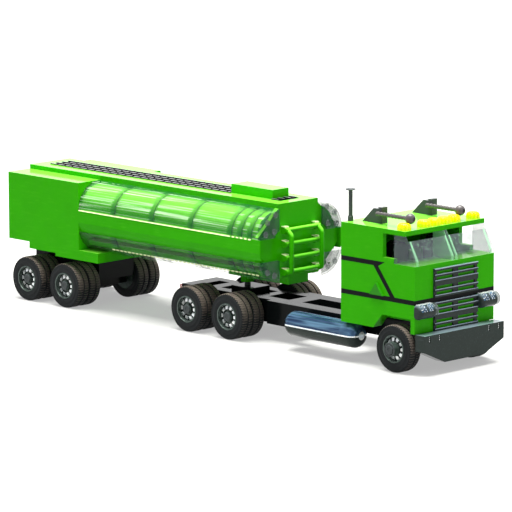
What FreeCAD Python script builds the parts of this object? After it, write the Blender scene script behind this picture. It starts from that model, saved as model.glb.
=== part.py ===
import FreeCAD, Part
import os
import re

import Sketcher

# A brick-built toy tanker lorry: a cab-over tractor with a hinged three-part tank trailer.
# Millimetres. X points forward, Y to the vehicle's left, Z up.
# The origin is on the floor, in the middle of the whole length.

DOCUMENT = FreeCAD.newDocument("tanker_lorry")

# Driving sizes. Heights called "rise" are above the frame top, which is the cab's underside.
SIZES = [
    ("plate", 3.2, "thickness of one plate of the building grid"),
    ("wall", 3.2, "cab wall thickness"),
    ("pin_back", 128.0, "king pin behind the cab back"),
    ("tail_reach", 204.9, "trailer tail behind the king pin"),
    ("tyre_radius", 16.0, "outer radius of every tyre"),
    ("tyre_width", 10.6, "width of every tyre"),
    ("twin_gap", 0.6, "gap between the tyres of a twin"),
    ("shoulder", 0.8, "bevel of the tyre shoulders"),
    ("bead_radius", 9.4, "inner radius of the tyre, where it sits on the hub"),
    ("track_half", 40.0, "outer face of the wheels from the middle"),
    ("steer_half", 40.7, "outer face of the front wheels from the middle"),
    ("dish_depth", 3.0, "recess of the hub web"),
    ("window_depth", 2.0, "depth of the hub windows"),
    ("window_low", 5.2, "inner radius of the hub windows"),
    ("window_high", 7.9, "outer radius of the hub windows"),
    ("window_slope", 20, "half the angle that a hub window takes, in degrees"),
    ("rim_wall", 1.0, "thickness of the hub rim"),
    ("boss_radius", 3.6, "radius of the hub boss"),
    ("boss_rise", 1.8, "boss standing out of the web"),
    ("front_boss", 4.9, "radius of the flat boss on a front hub"),
    ("front_boss_out", 2.9, "front boss standing out of the wheel"),
    ("cap_radius", 3.2, "radius of the axle end caps"),
    ("cap_width", 0.8, "thickness of the axle end caps"),
    ("beam_half", 2.6, "half the thickness of the square axle beams"),
    ("axle_radius", 2.4, "radius of the wheel axles"),
    ("run_play", 0.08, "radial play of a wheel on its axle"),
    ("seat_play", 0.05, "radial play of an axle in the frame"),
    ("end_play", 0.3, "play between a wheel and what keeps it on"),
    ("cab_lift", 11.6, "frame top above the axles"),
    ("axle_set", 17.2, "front axle behind the nose of the cab"),
    ("drive_half", 20.0, "drive axles either side of the king pin"),
    ("bogie_back", 166.5, "middle of the trailer axles behind the king pin"),
    ("bogie_half", 20.0, "trailer axles either side of their middle"),
    ("frame_tail", 48.4, "tractor frame behind the king pin"),
    ("frame_depth", 16.0, "height of the tractor frame"),
    ("frame_thin", 9.6, "height of the frame under the cab"),
    ("frame_half", 20.8, "half width of the tractor frame"),
    ("frame_waist", 16.8, "half width of the frame between the twin wheels"),
    ("ladder_half", 8.8, "half width of the gaps between the rails"),
    ("nose_gap", 0.8, "front end of the frame ahead of the cab nose"),
    ("waist_front", 40.0, "end of the narrow part ahead of the king pin"),
    ("hanger_half", 8.0, "half length of the front axle hanger"),
    ("riser", 6.4, "height of the block that carries the cab floor"),
    ("floor_top", 12.8, "cab floor top above the frame"),
    ("cab_length", 67.2, "cab length without the bumper"),
    ("cab_half", 38.4, "half width of the cab"),
    ("cab_height", 67.2, "cab height from its underside"),
    ("nose_height", 44.8, "height of the nose below the windscreen"),
    ("sill_height", 48.0, "height of the side window sill"),
    ("window_length", 10.0, "length of the open side window"),
    ("screen_reach", 18.8, "rear edge of the clear windscreen cheeks behind the nose"),
    ("visor_back", 8.9, "front edge of the roof and visor behind the nose"),
    ("screen_wall", 1.2, "thickness of the clear screens"),
    ("screen_lip", 3.2, "upright lip of the windscreen"),
    ("screen_gap", 0.1, "gap between the two screens and round them"),
    ("sill_depth", 8.0, "thickness of the low cab sides"),
    ("arch_height", 9.6, "height of the wheel arch"),
    ("arch_foot", 20.4, "foot of the arch slope behind the axle"),
    ("arch_top", 12.2, "top of the arch slope behind the axle"),
    ("arch_front", 13.6, "front edge of the arch ahead of the axle"),
    ("band_rise", 19.2, "underside of the black band"),
    ("stripe_rise", 41.6, "underside of the upper stripe"),
    ("stripe_length", 37.0, "length of the upper stripe"),
    ("inlay", 1.2, "depth of the black inlays"),
    ("slash_low", 47.0, "foot of the slanted stripe ahead of the cab back"),
    ("slash_high", 32.0, "head of the slanted stripe"),
    ("slash_width", 4.4, "width of the slanted stripe"),
    ("wedge_back", 27.6, "rear end of the side wedge"),
    ("wedge_length", 12.0, "length of the side wedge"),
    ("wedge_rise", 8.0, "height of the side wedge"),
    ("wedge_out", 2.0, "side wedge standing out of the wall"),
    ("bumper_half", 38.4, "half width of the bumper"),
    ("bumper_thick", 8.5, "thickness of the bumper"),
    ("bumper_end", 11.2, "height of the bumper ends"),
    ("bumper_depth", 19.6, "height of the bumper in the middle"),
    ("bumper_low_half", 19.2, "half width of the bumper's lower edge"),
    ("slot_depth", 1.2, "depth of the bumper slots"),
    ("slot_width", 1.2, "width of the bumper slots"),
    ("slot_height", 4.0, "height of the bumper slots"),
    ("slot_drop", 0.8, "top of the bumper slots below the bumper's top"),
    ("slot_side", 33.6, "outer bumper slots from the middle"),
    ("slot_pitch", 9.6, "spacing of the bumper slots of one side"),
    ("grille_half", 20.8, "half width of the grille"),
    ("grille_height", 19.2, "height of one grille block"),
    ("grille_out", 2.0, "grille standing out of the nose"),
    ("grille_bar", 1.7, "height of a thin grille bar"),
    ("grille_thick", 4.0, "height of the middle grille bar"),
    ("grille_post", 2.4, "width of the outer grille posts"),
    ("grille_mid", 4.8, "width of the middle grille post"),
    ("lamp_rise", 14.8, "height of the headlamps"),
    ("lamp_out", 1.4, "headlamp middle ahead of the nose"),
    ("lamp_gap", 0.1, "gap between a headlamp and the grille"),
    ("lamp_radius", 5.2, "radius of a headlamp"),
    ("lamp_length", 18.1, "length of a headlamp across the nose, with its disc"),
    ("lamp_round", 2.2, "bevel of the round end of a headlamp"),
    ("lens_radius", 4.6, "radius of the clear lamp discs"),
    ("lens_width", 4.0, "thickness of the clear lamp discs"),
    ("bracket_back", 8.0, "rear end of the horn brackets"),
    ("horn_right", 28.0, "right horn from the middle"),
    ("horn_left", 20.0, "left horn from the middle"),
    ("bracket_length", 17.7, "length of a horn bracket"),
    ("bracket_width", 5.6, "width of a horn bracket"),
    ("bracket_height", 10.9, "height of a horn bracket"),
    ("horn_rise", 6.8, "horn tube above the roof"),
    ("bar_radius", 1.6, "radius of a bar"),
    ("horn_back", 22.9, "rear end of the horn tubes ahead of the cab back"),
    ("bracket_step", 1.2, "step in the top of the horn brackets"),
    ("horn_length", 30.3, "length of a horn tube"),
    ("bell_radius", 3.6, "radius of a horn bell"),
    ("bell_length", 7.2, "length of a horn bell"),
    ("bell_round", 1.9, "bevel of a horn bell"),
    ("beacon_size", 9.4, "width of a roof lamp"),
    ("beacon_height", 4.5, "height of a roof lamp"),
    ("beacon_round", 2.4, "bevel of a roof lamp"),
    ("beacon_set", 5.6, "roof lamps behind the front edge of the roof"),
    ("beacon_pitch", 9.6, "spacing of the middle roof lamps"),
    ("beacon_side", 33.2, "outer roof lamps from the middle"),
    ("stack_back", 2.2, "exhaust stack ahead of the cab back"),
    ("stack_side", 31.6, "exhaust stack from the middle"),
    ("stack_height", 20.9, "height of the exhaust stack"),
    ("stack_foot", 3.4, "height of the thick foot of the stack"),
    ("stack_cap", 3.4, "radius of the stack cap"),
    ("stack_lid", 0.8, "thickness of the stack cap"),
    ("stack_pipe", 1.4, "radius of the stack"),
    ("stack_ring", 1.9, "radius of the foot of the stack"),
    ("seat_back", 28.0, "rear face of the seats ahead of the cab back"),
    ("seat_side", 19.2, "seats from the middle"),
    ("seat_width", 16.0, "width of a seat"),
    ("seat_thick", 8.0, "thickness of a seat back"),
    ("seat_rise", 56.0, "top of the seats"),
    ("seat_level", 30.0, "top of the seat cushions"),
    ("seat_reach", 10.0, "seat cushion ahead of its back"),
    ("seat_bar_rise", 48.4, "underside of the bar between the seats"),
    ("fuel_radius", 8.8, "radius of a fuel tank"),
    ("fuel_back", 55.6, "rear end of the fuel tanks behind the cab back"),
    ("fuel_length", 67.2, "length of a fuel tank"),
    ("fuel_drop", 0.8, "top of the fuel tanks below the frame top"),
    ("fuel_gap", 1.0, "gap between a fuel tank and the frame"),
    ("fuel_round", 6.0, "bevel of the round ends of a fuel tank"),
    ("saddle_height", 7.0, "height of the fuel tank saddles"),
    ("tail_lamp", 4.0, "width of a tail lamp"),
    ("tail_lamp_height", 5.0, "height of a tail lamp"),
    ("tail_lamp_width", 2.4, "thickness of a tail lamp"),
    ("pin_collar", 2.2, "radius of the king pin collar"),
    ("pin_rise", 5.4, "top of the king pin collar"),
    ("pin_top", 9.6, "top of the king pin"),
    ("pin_sink", 4.8, "king pin inside the frame"),
    ("pad_back", 6.8, "raised plate behind the king pin"),
    ("pad_front", 12.8, "raised plate ahead of the king pin"),
    ("pad_half", 9.0, "half width of the raised plate under the king pin"),
    ("table_radius", 4.8, "radius of the round turntable"),
    ("table_height", 5.0, "height of the turntable"),
    ("neck_back", 9.0, "king pin block behind the pin"),
    ("neck_half", 9.6, "half width of the king pin block"),
    ("tank_front", 49.6, "bulkhead face ahead of the king pin"),
    ("box_half", 40.0, "half width of the trailer"),
    ("box_front", 130.0, "front of the rear box behind the king pin"),
    ("box_rise", 16.0, "underside of the rear box"),
    ("box_top", 64.4, "top of the rear box"),
    ("skirt_back", 183.0, "rear end of the lower box behind the king pin"),
    ("skirt_step", 155.0, "step of the lower box behind the king pin"),
    ("skirt_front", 110.0, "front of the lower box behind the king pin"),
    ("skirt_high", 11.2, "underside of the rear part of the lower box"),
    ("skirt_low", 9.0, "underside of the front part of the lower box"),
    ("deck_half", 19.2, "half width of the raised deck"),
    ("deck_top", 67.6, "top of the raised deck"),
    ("hatch_back", 7.8, "rear of the hatch box behind the king pin"),
    ("hatch_length", 40.4, "length of the hatch box"),
    ("hatch_half", 7.8, "half width of the hatch box"),
    ("hatch_height", 6.4, "height of the hatch box"),
    ("grate_back", 194.0, "rear end of the grating behind the king pin"),
    ("grate_half", 9.2, "half width of the grating"),
    ("grate_front", 41.5, "front end of the front grating ahead of the king pin"),
    ("grate_height", 0.8, "height of the grating bars"),
    ("grate_bar", 1.6, "width of a grating bar"),
    ("hull_half", 37.0, "half width of the inner tank"),
    ("hull_low", 22.4, "underside of the inner tank"),
    ("hull_top", 61.6, "top of the inner tank"),
    ("hull_round", 16.2, "corner radius of the inner tank"),
    ("belt_top", 45.2, "top of the side belts"),
    ("belt_flat", 36.0, "lower end of the flat part of the belts"),
    ("belt_low", 29.4, "lower edge of the side belts"),
    ("belly_half", 30.4, "half width of the belly plate"),
    ("cover_round", 19.2, "outer radius of the clear covers"),
    ("cover_wall", 1.2, "thickness of the clear covers"),
    ("cover_low", 33.0, "middle of the lower covers"),
    ("cover_front", 52.5, "front end of the covers ahead of the king pin"),
    ("cover_piece", 39.2, "length of a long cover piece"),
    ("cover_short", 9.6, "length of a short cover piece at the front"),
    ("cover_rib", 0.8, "height of the ribs inside the covers"),
    ("cover_flange", 14.0, "height of the flange inside the front end of the covers"),
    ("rib_width", 1.2, "width of the ribs inside the covers"),
    ("bulk_half", 38.4, "half width of the front bulkhead"),
    ("bulk_top_half", 19.2, "half width of its upper and lower edges"),
    ("bulk_low", 16.0, "lower edge of the bulkhead"),
    ("bulk_side_low", 35.2, "lower end of its upright edges"),
    ("bulk_side_high", 46.4, "upper end of its upright edges"),
    ("rack_out", 4.4, "rack bars ahead of the bulkhead"),
    ("rack_half", 16.5, "half length of the rack bars"),
    ("rack_low", 20.7, "height of the lowest rack bar"),
    ("rack_pitch", 9.6, "spacing of the rack bars"),
    ("rack_tube_side", 14.6, "upright tubes from the middle"),
    ("rack_tube_out", 3.9, "upright tubes ahead of the rack bars"),
    ("rack_bend", 3.5, "upright tubes end below the top bar"),
    ("clip_side", 14.6, "clips from the middle"),
    ("clip_width", 3.2, "width of a clip"),
    ("clip_reach", 3.8, "clips ahead of the bulkhead"),
    ("clip_wall", 1.0, "thickness of a clip"),
    ("bogie_nose", 12.0, "bogie block ahead of its front axle"),
    ("bogie_over", 15.5, "bogie block behind its rear axle"),
    ("bogie_width", 16.8, "half width of the bogie block"),
    ("bogie_depth", 9.4, "bogie block below the frame top level"),
    ("bogie_hanger", 4.4, "half length of the axle hangers under the bogie block"),
    ("bogie_low", 15.6, "lower end of the axle hangers below the frame top level"),
]

SHEET = DOCUMENT.addObject("Spreadsheet::Sheet", "Sizes")
for row, (alias, value, note) in enumerate(SIZES, start=1):
    SHEET.set(f"A{row}", alias)
    SHEET.set(f"B{row}", str(value))
    SHEET.set(f"C{row}", note)
    SHEET.setAlias(f"B{row}", alias)
DOCUMENT.recompute()

# Round toy pieces are modelled with flat sides, which keeps them light.
TYRE_SIDES = 20
RIM_SIDES = 12
LAMP_SIDES = 10
TUBE_SIDES = 8
HUB_WINDOWS = 5
QUARTER_TURN = 90
SAME_PLACE = 0.0001

# Inner face of the twin wheels and the outer face of their bosses, from the middle.
TWIN_AXLE = ("track_half - twin_total", "track_half - boss_face")

# Open gaps along the middle of the tractor frame, as rear and front ends from the king pin.
LADDER_GAPS = [(-37, -27), (-17.6, -8.8), (12.8, 21.6), (29.5, 49.5), (62, 112)]

# Places worked out from the driving sizes.
PLACES = {
    "steer_back": "cab_length - axle_set",
    "frame_nose": "cab_length + nose_gap",
    "bumper_reach": "cab_length + nose_gap + bumper_thick",
    "screen_back": "cab_length - screen_reach",
    "window_back": "cab_length - screen_reach - window_length",
    "roof_front": "cab_length - visor_back",
    "lamp_inner": "grille_half + lamp_gap",
    "bogie_front": "bogie_back - bogie_half - bogie_nose",
    "bogie_tail": "bogie_back + bogie_half + bogie_over",
    "cab_x": "(pin_back + tail_reach - bumper_reach) / 2",
    "pin_x": "cab_x - pin_back",
    "steer_x": "cab_x + steer_back",
    "base_z": "tyre_radius + cab_lift",
    "twin_total": "2 * tyre_width + twin_gap",
    "boss_face": "dish_depth - boss_rise",
    "fuel_side": "frame_half + fuel_gap + fuel_radius",
    "fuel_z": "base_z - fuel_drop - fuel_radius",
    "roof_z": "base_z + cab_height",
    "neck_low": "pin_rise + end_play + table_height",
    "belly_low": "hull_low - plate",
}
NAMES = {alias for alias, _, _ in SIZES}


def rule(text):
    """Turns a rule written in size names into an expression on the sheet."""

    def expand(found):
        word = found.group()
        if word in PLACES:
            return "(" + rule(PLACES[word]) + ")"
        return "Sizes." + word if word in NAMES else word

    return re.sub(r"[a-z_]+", expand, str(text))


def bind(item, **rules):
    """Binds properties of an object to rules; a double underscore stands for a dot."""
    for name, text in rules.items():
        item.setExpression(name.replace("__", "."), rule(text))
    return item


def put(item, x=0, y=0, z=0):
    """Binds the place of an object."""
    return bind(item, Placement__Base__x=x, Placement__Base__y=y, Placement__Base__z=z)


def turn(item, axis, angle):
    """Turns an object about one axis through its own origin."""
    item.Placement = FreeCAD.Placement(item.Placement.Base, FreeCAD.Rotation(axis, angle))
    return item


ALONG_X = (FreeCAD.Vector(0, 1, 0), QUARTER_TURN)
ALONG_Y = (FreeCAD.Vector(1, 0, 0), -QUARTER_TURN)


def lay(item, axis):
    """Turns an object that stands along Z so that it runs along +X or +Y."""
    if axis == "X":
        turn(item, *ALONG_X)
    if axis == "Y":
        turn(item, *ALONG_Y)
    return item


def block(label, x, y, z, dx, dy, dz):
    """A box from its lowest corner and its three lengths."""
    item = DOCUMENT.addObject("Part::Box", label)
    bind(item, Length=dx, Width=dy, Height=dz)
    return put(item, x, y, z)


def rod(label, axis, x, y, z, radius, length):
    """A round rod that starts at a point and runs along +X, +Y or +Z."""
    item = bind(DOCUMENT.addObject("Part::Cylinder", label), Radius=radius, Height=length)
    return put(lay(item, axis), x, y, z)


def prism(label, axis, x, y, z, sides, radius, length):
    """A rod with flat sides that starts at a point and runs along +X, +Y or +Z."""
    item = bind(DOCUMENT.addObject("Part::Prism", label), Circumradius=radius, Height=length)
    item.Polygon = sides
    return put(lay(item, axis), x, y, z)


def bevelled(label, base, width, axis, ends=(min, max), insets=("0",)):
    """Bevels the edges that lie in the end planes of a solid, or a way in from them, along an axis."""
    item = DOCUMENT.addObject("Part::Chamfer", label)
    item.Base = base
    base.recompute(True)
    size = float(item.evalExpression(rule(width)))
    edges = [[getattr(corner.Point, axis.lower()) for corner in edge.Vertexes] for edge in base.Shape.Edges]
    spots = [spot for edge in edges for spot in edge]
    inward = {min: 1, max: -1}
    planes = [end(spots) + inward[end] * float(item.evalExpression(rule(inset)))
              for end in ends for inset in insets]
    item.Edges = [(n, size, size) for n, edge in enumerate(edges, start=1)
                  if any(max(abs(spot - plane) for spot in edge) < SAME_PLACE for plane in planes)]
    return item


def rounded(label, base, width, axis, ends):
    """Bevels the ends of a solid and then the edges of those bevels, which looks round."""
    first = bevelled(label + "_bevel", base, width, axis, ends)
    return bevelled(label, first, f"{width} / 3", axis, ends, ("0", width))


def fuse(label, parts):
    """Joins solids into one."""
    item = DOCUMENT.addObject("Part::MultiFuse", label)
    item.Shapes = parts
    item.Refine = True
    return item


def cut(label, base, tools):
    """Cuts one or more solids out of a base."""
    tool = tools[0] if len(tools) == 1 else fuse(label + "_tools", tools)
    item = DOCUMENT.addObject("Part::Cut", label)
    item.Base = base
    item.Tool = tool
    item.Refine = True
    return item


def group(label, parts):
    """Keeps separate solids together in one sub-part."""
    item = DOCUMENT.addObject("Part::Compound", label)
    item.Links = parts
    return item


def mirror(label, source):
    """The same piece on the other side of the vehicle."""
    item = DOCUMENT.addObject("Part::Mirroring", label)
    item.Source = source
    item.Normal = FreeCAD.Vector(0, 1, 0)
    return item


def pair(label, source):
    """A piece and its mirror image as one sub-part."""
    return group(label, [source, mirror(label + "_other", source)])


def new_body(label, x=0, y=0, z=0):
    """A PartDesign body at a bound place."""
    return put(DOCUMENT.addObject("PartDesign::Body", label), x, y, z)


def outline(body, plane, loops):
    """A sketch of closed outlines whose corners are bound to rules."""
    sketch = body.newObject("Sketcher::SketchObject", body.Name + "_outline")
    support = [f for f in body.Origin.OriginFeatures if f.Role == plane][0]
    sketch.AttachmentSupport = [(support, "")]
    sketch.MapMode = "FlatFace"
    for corners in loops:
        first = sketch.GeometryCount
        count = len(corners)
        start = [FreeCAD.Vector(float(n), float(n * n), 0) for n in range(count)]
        for n in range(count):
            sketch.addGeometry(Part.LineSegment(start[n], start[(n + 1) % count]), False)
        for n in range(count):
            joint = (first + n, 2, first + (n + 1) % count, 1)
            sketch.addConstraint(Sketcher.Constraint("Coincident", *joint))
        for n, (across, up) in enumerate(corners):
            for kind, text in (("DistanceX", across), ("DistanceY", up)):
                index = sketch.addConstraint(Sketcher.Constraint(kind, -1, 1, first + n, 1, 1.0))
                sketch.setExpression(f"Constraints[{index}]", rule(text))
    return sketch


def pad(body, plane, loops, length, middle=False, back=False):
    """Pads closed outlines on one of the body's own planes."""
    sketch = outline(body, plane, loops)
    item = body.newObject("PartDesign::Pad", body.Name + "_pad")
    item.Profile = sketch
    bind(item, Length=length)
    item.Midplane = middle
    item.Reversed = back
    return item


def pocket(body, plane, loops, depth=None):
    """Cuts closed outlines out of the body to a depth, or right through it both ways."""
    sketch = outline(body, plane, loops)
    item = body.newObject("PartDesign::Pocket", body.Name + "_pocket")
    item.Profile = sketch
    if depth is None:
        item.Type = "ThroughAll"
        item.Midplane = True
    else:
        bind(item, Length=depth)
    return item


def repeat(body, feature, count):
    """Repeats a cut evenly round the axis of its own outline."""
    item = body.newObject("PartDesign::PolarPattern", feature.Name + "_pattern")
    item.Originals = [feature]
    item.Axis = (feature.Profile[0], ["N_Axis"])
    item.Angle = 360
    item.Occurrences = count
    body.Tip = item
    return item


def regular(sides, radius):
    """The corners of a regular outline round the middle, as rules."""
    return [(f"{radius} * cos({360 * n / sides})", f"{radius} * sin({360 * n / sides})") for n in range(sides)]


def rectangle(x0, y0, x1, y1):
    """The four corners of a rectangle, as rules."""
    return [(x0, y0), (x1, y0), (x1, y1), (x0, y1)]


def tyre_ring(label, start, breadth):
    """One tyre: bevelled shoulders and a bore that fits the rim."""
    blank = prism(label + "_blank", "Y", 0, start, 0, TYRE_SIDES, "tyre_radius", breadth)
    bore = prism(label + "_bore", "Y", 0, f"{start} - plate", 0, RIM_SIDES, "bead_radius",
                 f"{breadth} + 2 * plate")
    return cut(label, bevelled(label + "_shoulders", blank, "shoulder", "Y"), [bore])


def hub_form(label, width, boss_out=None):
    """A dished hub: a boss stands in the dish, or out of the wheel, with windows round it and a round bore."""
    body = new_body(label + "_disc")
    pad(body, "XZ_Plane", [regular(RIM_SIDES, "bead_radius")], width, back=True)
    boss = regular(LAMP_SIDES, "boss_radius")
    pocket(body, "XZ_Plane", [regular(RIM_SIDES, "(bead_radius - rim_wall)"), boss], "dish_depth")
    pocket(body, "XZ_Plane", [boss], "boss_face")
    corners = [(radius, f"{sign} window_slope") for radius, sign in
               (("window_low", "-"), ("window_high", "-"), ("window_high", "+"), ("window_low", "+"))]
    window = pocket(body, "XZ_Plane", [[(f"{radius} * cos({angle})", f"{radius} * sin({angle})")
                                        for radius, angle in corners]], "dish_depth + window_depth")
    repeat(body, window, HUB_WINDOWS)
    solid = body
    if boss_out:
        nose = prism(label + "_nose", "Y", 0, f"-{boss_out}", 0, LAMP_SIDES, "front_boss",
                     f"{boss_out} + dish_depth + plate")
        solid = fuse(label + "_solid", [body, nose])
    bore = rod(label + "_bore", "Y", 0, "-plate", 0, "axle_radius + run_play", f"{width} + 2 * plate")
    return cut(label, solid, [bore])


def wheel(label, x, side, hub, tyres, face):
    """One wheel from its hub and tyre forms; side is 1 on the left and -1 on the right."""
    made = [group(label + "_hub", [hub]), group(label + "_tyre", tyres)]
    for piece in made:
        if side > 0:
            turn(piece, FreeCAD.Vector(0, 0, 1), 2 * QUARTER_TURN)
        put(piece, x, f"{side} * {face}", "tyre_radius")
    return made


def axle(label, x, inner, reach):
    """An axle with a square beam between the wheels and an end cap outside each hub."""
    shank = prism(label + "_shank", "Y", x, f"-({reach} + end_play)", "tyre_radius", RIM_SIDES,
                  "axle_radius", f"2 * ({reach} + end_play)")
    beam = block(label + "_beam", f"{x} - beam_half", f"-({inner} - end_play)", "tyre_radius - beam_half",
                 "2 * beam_half", f"2 * ({inner} - end_play)", "2 * beam_half")
    cap = prism(label + "_cap", "Y", x, f"{reach} + end_play", "tyre_radius", TUBE_SIDES, "cap_radius",
                "cap_width")
    return fuse(label, [shank, beam, cap, mirror(label + "_other_cap", cap)])


def wheels():
    """The ten wheels; twins share one body. Like wheels are placed from the same forms."""
    single = (hub_form("single_hub", "tyre_width", "front_boss_out"),
              [tyre_ring("single_ring", "0", "tyre_width")], "steer_half")
    twin = (hub_form("twin_hub", "twin_total"), [
        tyre_ring("outer_ring", "0", "tyre_width"),
        tyre_ring("inner_ring", "tyre_width + twin_gap", "tyre_width"),
    ], "track_half")
    made = []
    for side, word in ((-1, "right"), (1, "left")):
        made += wheel(f"front_{word}", "steer_x", side, *single)
        made += wheel(f"drive_rear_{word}", "pin_x - drive_half", side, *twin)
        made += wheel(f"drive_front_{word}", "pin_x + drive_half", side, *twin)
        for end, sign in (("rear", "-"), ("front", "+")):
            made += wheel(f"trailer_{end}_{word}", f"pin_x - bogie_back {sign} bogie_half", side, *twin)
    return made


def axle_holes(label, places):
    """Square cutters for axle beams that pass through a block."""
    half = "(beam_half + seat_play)"
    return [block(f"{label}_{n}", f"{x} - {half}", "-track_half", f"tyre_radius - {half}", f"2 * {half}",
                  "2 * track_half", f"2 * {half}") for n, x in enumerate(places)]


def tractor_frame():
    """Ladder frame: deep rails, waisted between the twins, with open gaps along the middle."""
    body = new_body("frame_blank", "cab_x", 0, "base_z")
    pad(body, "XZ_Plane", [[
        ("-pin_back - frame_tail", 0),
        ("-pin_back - frame_tail", "-frame_thin"),
        ("-pin_back - frame_tail + frame_depth - frame_thin", "-frame_depth"),
        ("-fuel_back", "-frame_depth"),
        ("-fuel_back + frame_depth - frame_thin", "-frame_thin"),
        ("steer_back - hanger_half", "-frame_thin"),
        ("steer_back - hanger_half", "-frame_depth"),
        ("steer_back + hanger_half", "-frame_depth"),
        ("steer_back + hanger_half", "-frame_thin"),
        ("frame_nose", "-frame_thin"),
        ("frame_nose", 0),
        ("cab_length - wall", 0),
        ("cab_length - wall", "riser"),
        ("wall", "riser"),
        ("wall", 0),
    ]], "2 * frame_half", middle=True)
    waist = [rectangle("-pin_back - 2 * frame_tail", f"{sign}frame_waist",
                       "-pin_back + waist_front", f"{sign}2 * frame_half") for sign in ("", "-")]
    gaps = [rectangle(f"-pin_back + {a}", "-ladder_half", f"-pin_back + {b}", "ladder_half")
            for a, b in LADDER_GAPS]
    pocket(body, "XY_Plane", waist + gaps)
    raised = block("frame_pad", "pin_x - pad_back", "-pad_half", "base_z", "pad_back + pad_front",
                   "2 * pad_half", "plate")
    pin = rod("pin_socket", "Z", "pin_x", 0, "base_z - pin_sink", "bar_radius + seat_play", "2 * pin_sink")
    holes = axle_holes("frame_hole", ["steer_x", "pin_x - drive_half", "pin_x + drive_half"])
    return cut("tractor_frame", fuse("frame_solid", [body, raised]), [pin] + holes)


def tractor_axles():
    """The steering axle and the two drive axles."""
    return group("tractor_axles", [
        axle("front_axle", "steer_x", "steer_half - tyre_width", "steer_half + front_boss_out"),
        axle("drive_axle_rear", "pin_x - drive_half", *TWIN_AXLE),
        axle("drive_axle_front", "pin_x + drive_half", *TWIN_AXLE),
    ])


def king_pin():
    """The pin that the trailer turns on, with a collar under the turntable."""
    shank = rod("pin_shank", "Z", "pin_x", 0, "base_z - pin_sink", "bar_radius", "pin_sink + pin_top")
    collar = prism("pin_shoulder", "Z", "pin_x", 0, "base_z + plate", LAMP_SIDES, "pin_collar",
                   "pin_rise - plate")
    return fuse("king_pin", [shank, collar])


def tail_lamps():
    """Two small clear red lamps on the tail of the frame."""
    lamp = block("tail_lamp_right", "pin_x - frame_tail - tail_lamp_width", "-frame_waist",
                 "base_z - tail_lamp_height - plate / 4", "tail_lamp_width", "tail_lamp",
                 "tail_lamp_height")
    return pair("tail_lamps", lamp)


def fuel_tanks():
    """Long round fuel tanks that lie beside the frame, with round ends."""
    tube = prism("fuel_tube", "X", "cab_x - fuel_back", "-fuel_side", "fuel_z", RIM_SIDES, "fuel_radius",
                 "fuel_length")
    return pair("fuel_tanks", rounded("fuel_tank", tube, "fuel_round", "X", (min, max)))


def fuel_brackets():
    """Black saddles that hold the fuel tanks to the frame, hollowed to the tank."""
    made = []
    for n, place in enumerate(("fuel_length / 4", "fuel_length * 3 / 4 - plate")):
        x = f"cab_x - fuel_back + {place}"
        saddle = block(f"saddle_block_{n}", x, "-frame_half - fuel_gap - plate", "fuel_z - saddle_height / 2",
                       "plate", "fuel_gap + plate", "saddle_height")
        hollow = prism(f"saddle_hollow_{n}", "X", f"{x} - plate", "-fuel_side", "fuel_z", RIM_SIDES,
                       "fuel_radius", "3 * plate")
        made.append(cut(f"saddle_{n}", saddle, [hollow]))
    return group("fuel_brackets", made + [mirror(f"saddle_other_{n}", item) for n, item in enumerate(made)])


def cab_side():
    """Right cab side with its window, wheel arch, thick lower edge and inlaid stripes."""
    body = new_body("side_upper", "cab_x", "-cab_half", "base_z")
    arch = [("steer_back + arch_front", 0), ("steer_back + arch_front", "arch_height"),
            ("steer_back - arch_top", "arch_height"), ("steer_back - arch_foot", 0)]
    pad(body, "XZ_Plane", [[("cab_length", 0)] + arch + [
        (0, 0), (0, "cab_height - plate"), ("window_back", "cab_height - plate"),
        ("window_back", "sill_height"), ("screen_back", "sill_height"),
        ("screen_back", "nose_height"), ("cab_length", "nose_height")]], "wall", back=True)
    low = new_body("side_lower", "cab_x", "-cab_half", "base_z")
    pad(low, "XZ_Plane", [[("cab_length - wall", 0)] + arch + [
        ("wall", 0), ("wall", "floor_top"), ("cab_length - wall", "floor_top")]],
        "sill_depth", back=True)
    band = block("side_band_cut", "cab_x", "-cab_half", "base_z + band_rise",
                 "cab_length", "inlay", "plate")
    front = block("side_front_cut", "cab_x + cab_length - inlay", "-cab_half", "base_z + band_rise",
                  "inlay", "cab_half", "plate")
    return cut("cab_side_right", fuse("side_walls", [body, low]),
               [band, front, upper_stripe("side_stripe_cut")])


def upper_stripe(label):
    """Upper stripe with a slanted end, joined to the slash that runs down to the band."""
    body = new_body(label, "cab_x", "-cab_half", "base_z")
    pad(body, "XZ_Plane", [[
        (0, "stripe_rise"),
        ("slash_high - slash_width / 2", "stripe_rise"),
        ("slash_low - slash_width / 2", "band_rise + plate"),
        ("slash_low + slash_width / 2", "band_rise + plate"),
        ("slash_high + slash_width / 2", "stripe_rise"),
        ("stripe_length + plate", "stripe_rise + plate"),
        (0, "stripe_rise + plate"),
    ]], "inlay", back=True)
    return body


def cab_stripes():
    """The black inlays: a band round three sides of the cab, a stripe and a slash on each side."""
    side = block("band_side", "cab_x", "-cab_half", "base_z + band_rise", "cab_length", "inlay", "plate")
    front = block("band_front", "cab_x + cab_length - inlay", "-cab_half", "base_z + band_rise",
                  "inlay", "2 * cab_half", "plate")
    stripe = upper_stripe("stripe_side")
    return fuse("cab_stripes", [side, mirror("band_side_other", side), front,
                                stripe, mirror("stripe_side_other", stripe)])


def side_wedges():
    """Small ramps on the cab sides, above the band."""
    body = new_body("wedge_side", "cab_x + wedge_back", "-cab_half", "base_z + band_rise + plate")
    pad(body, "XZ_Plane", [[(0, 0), ("wedge_length", 0), ("wedge_length / 2", "wedge_rise")]],
        "wedge_out")
    return pair("side_wedges", body)


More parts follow.
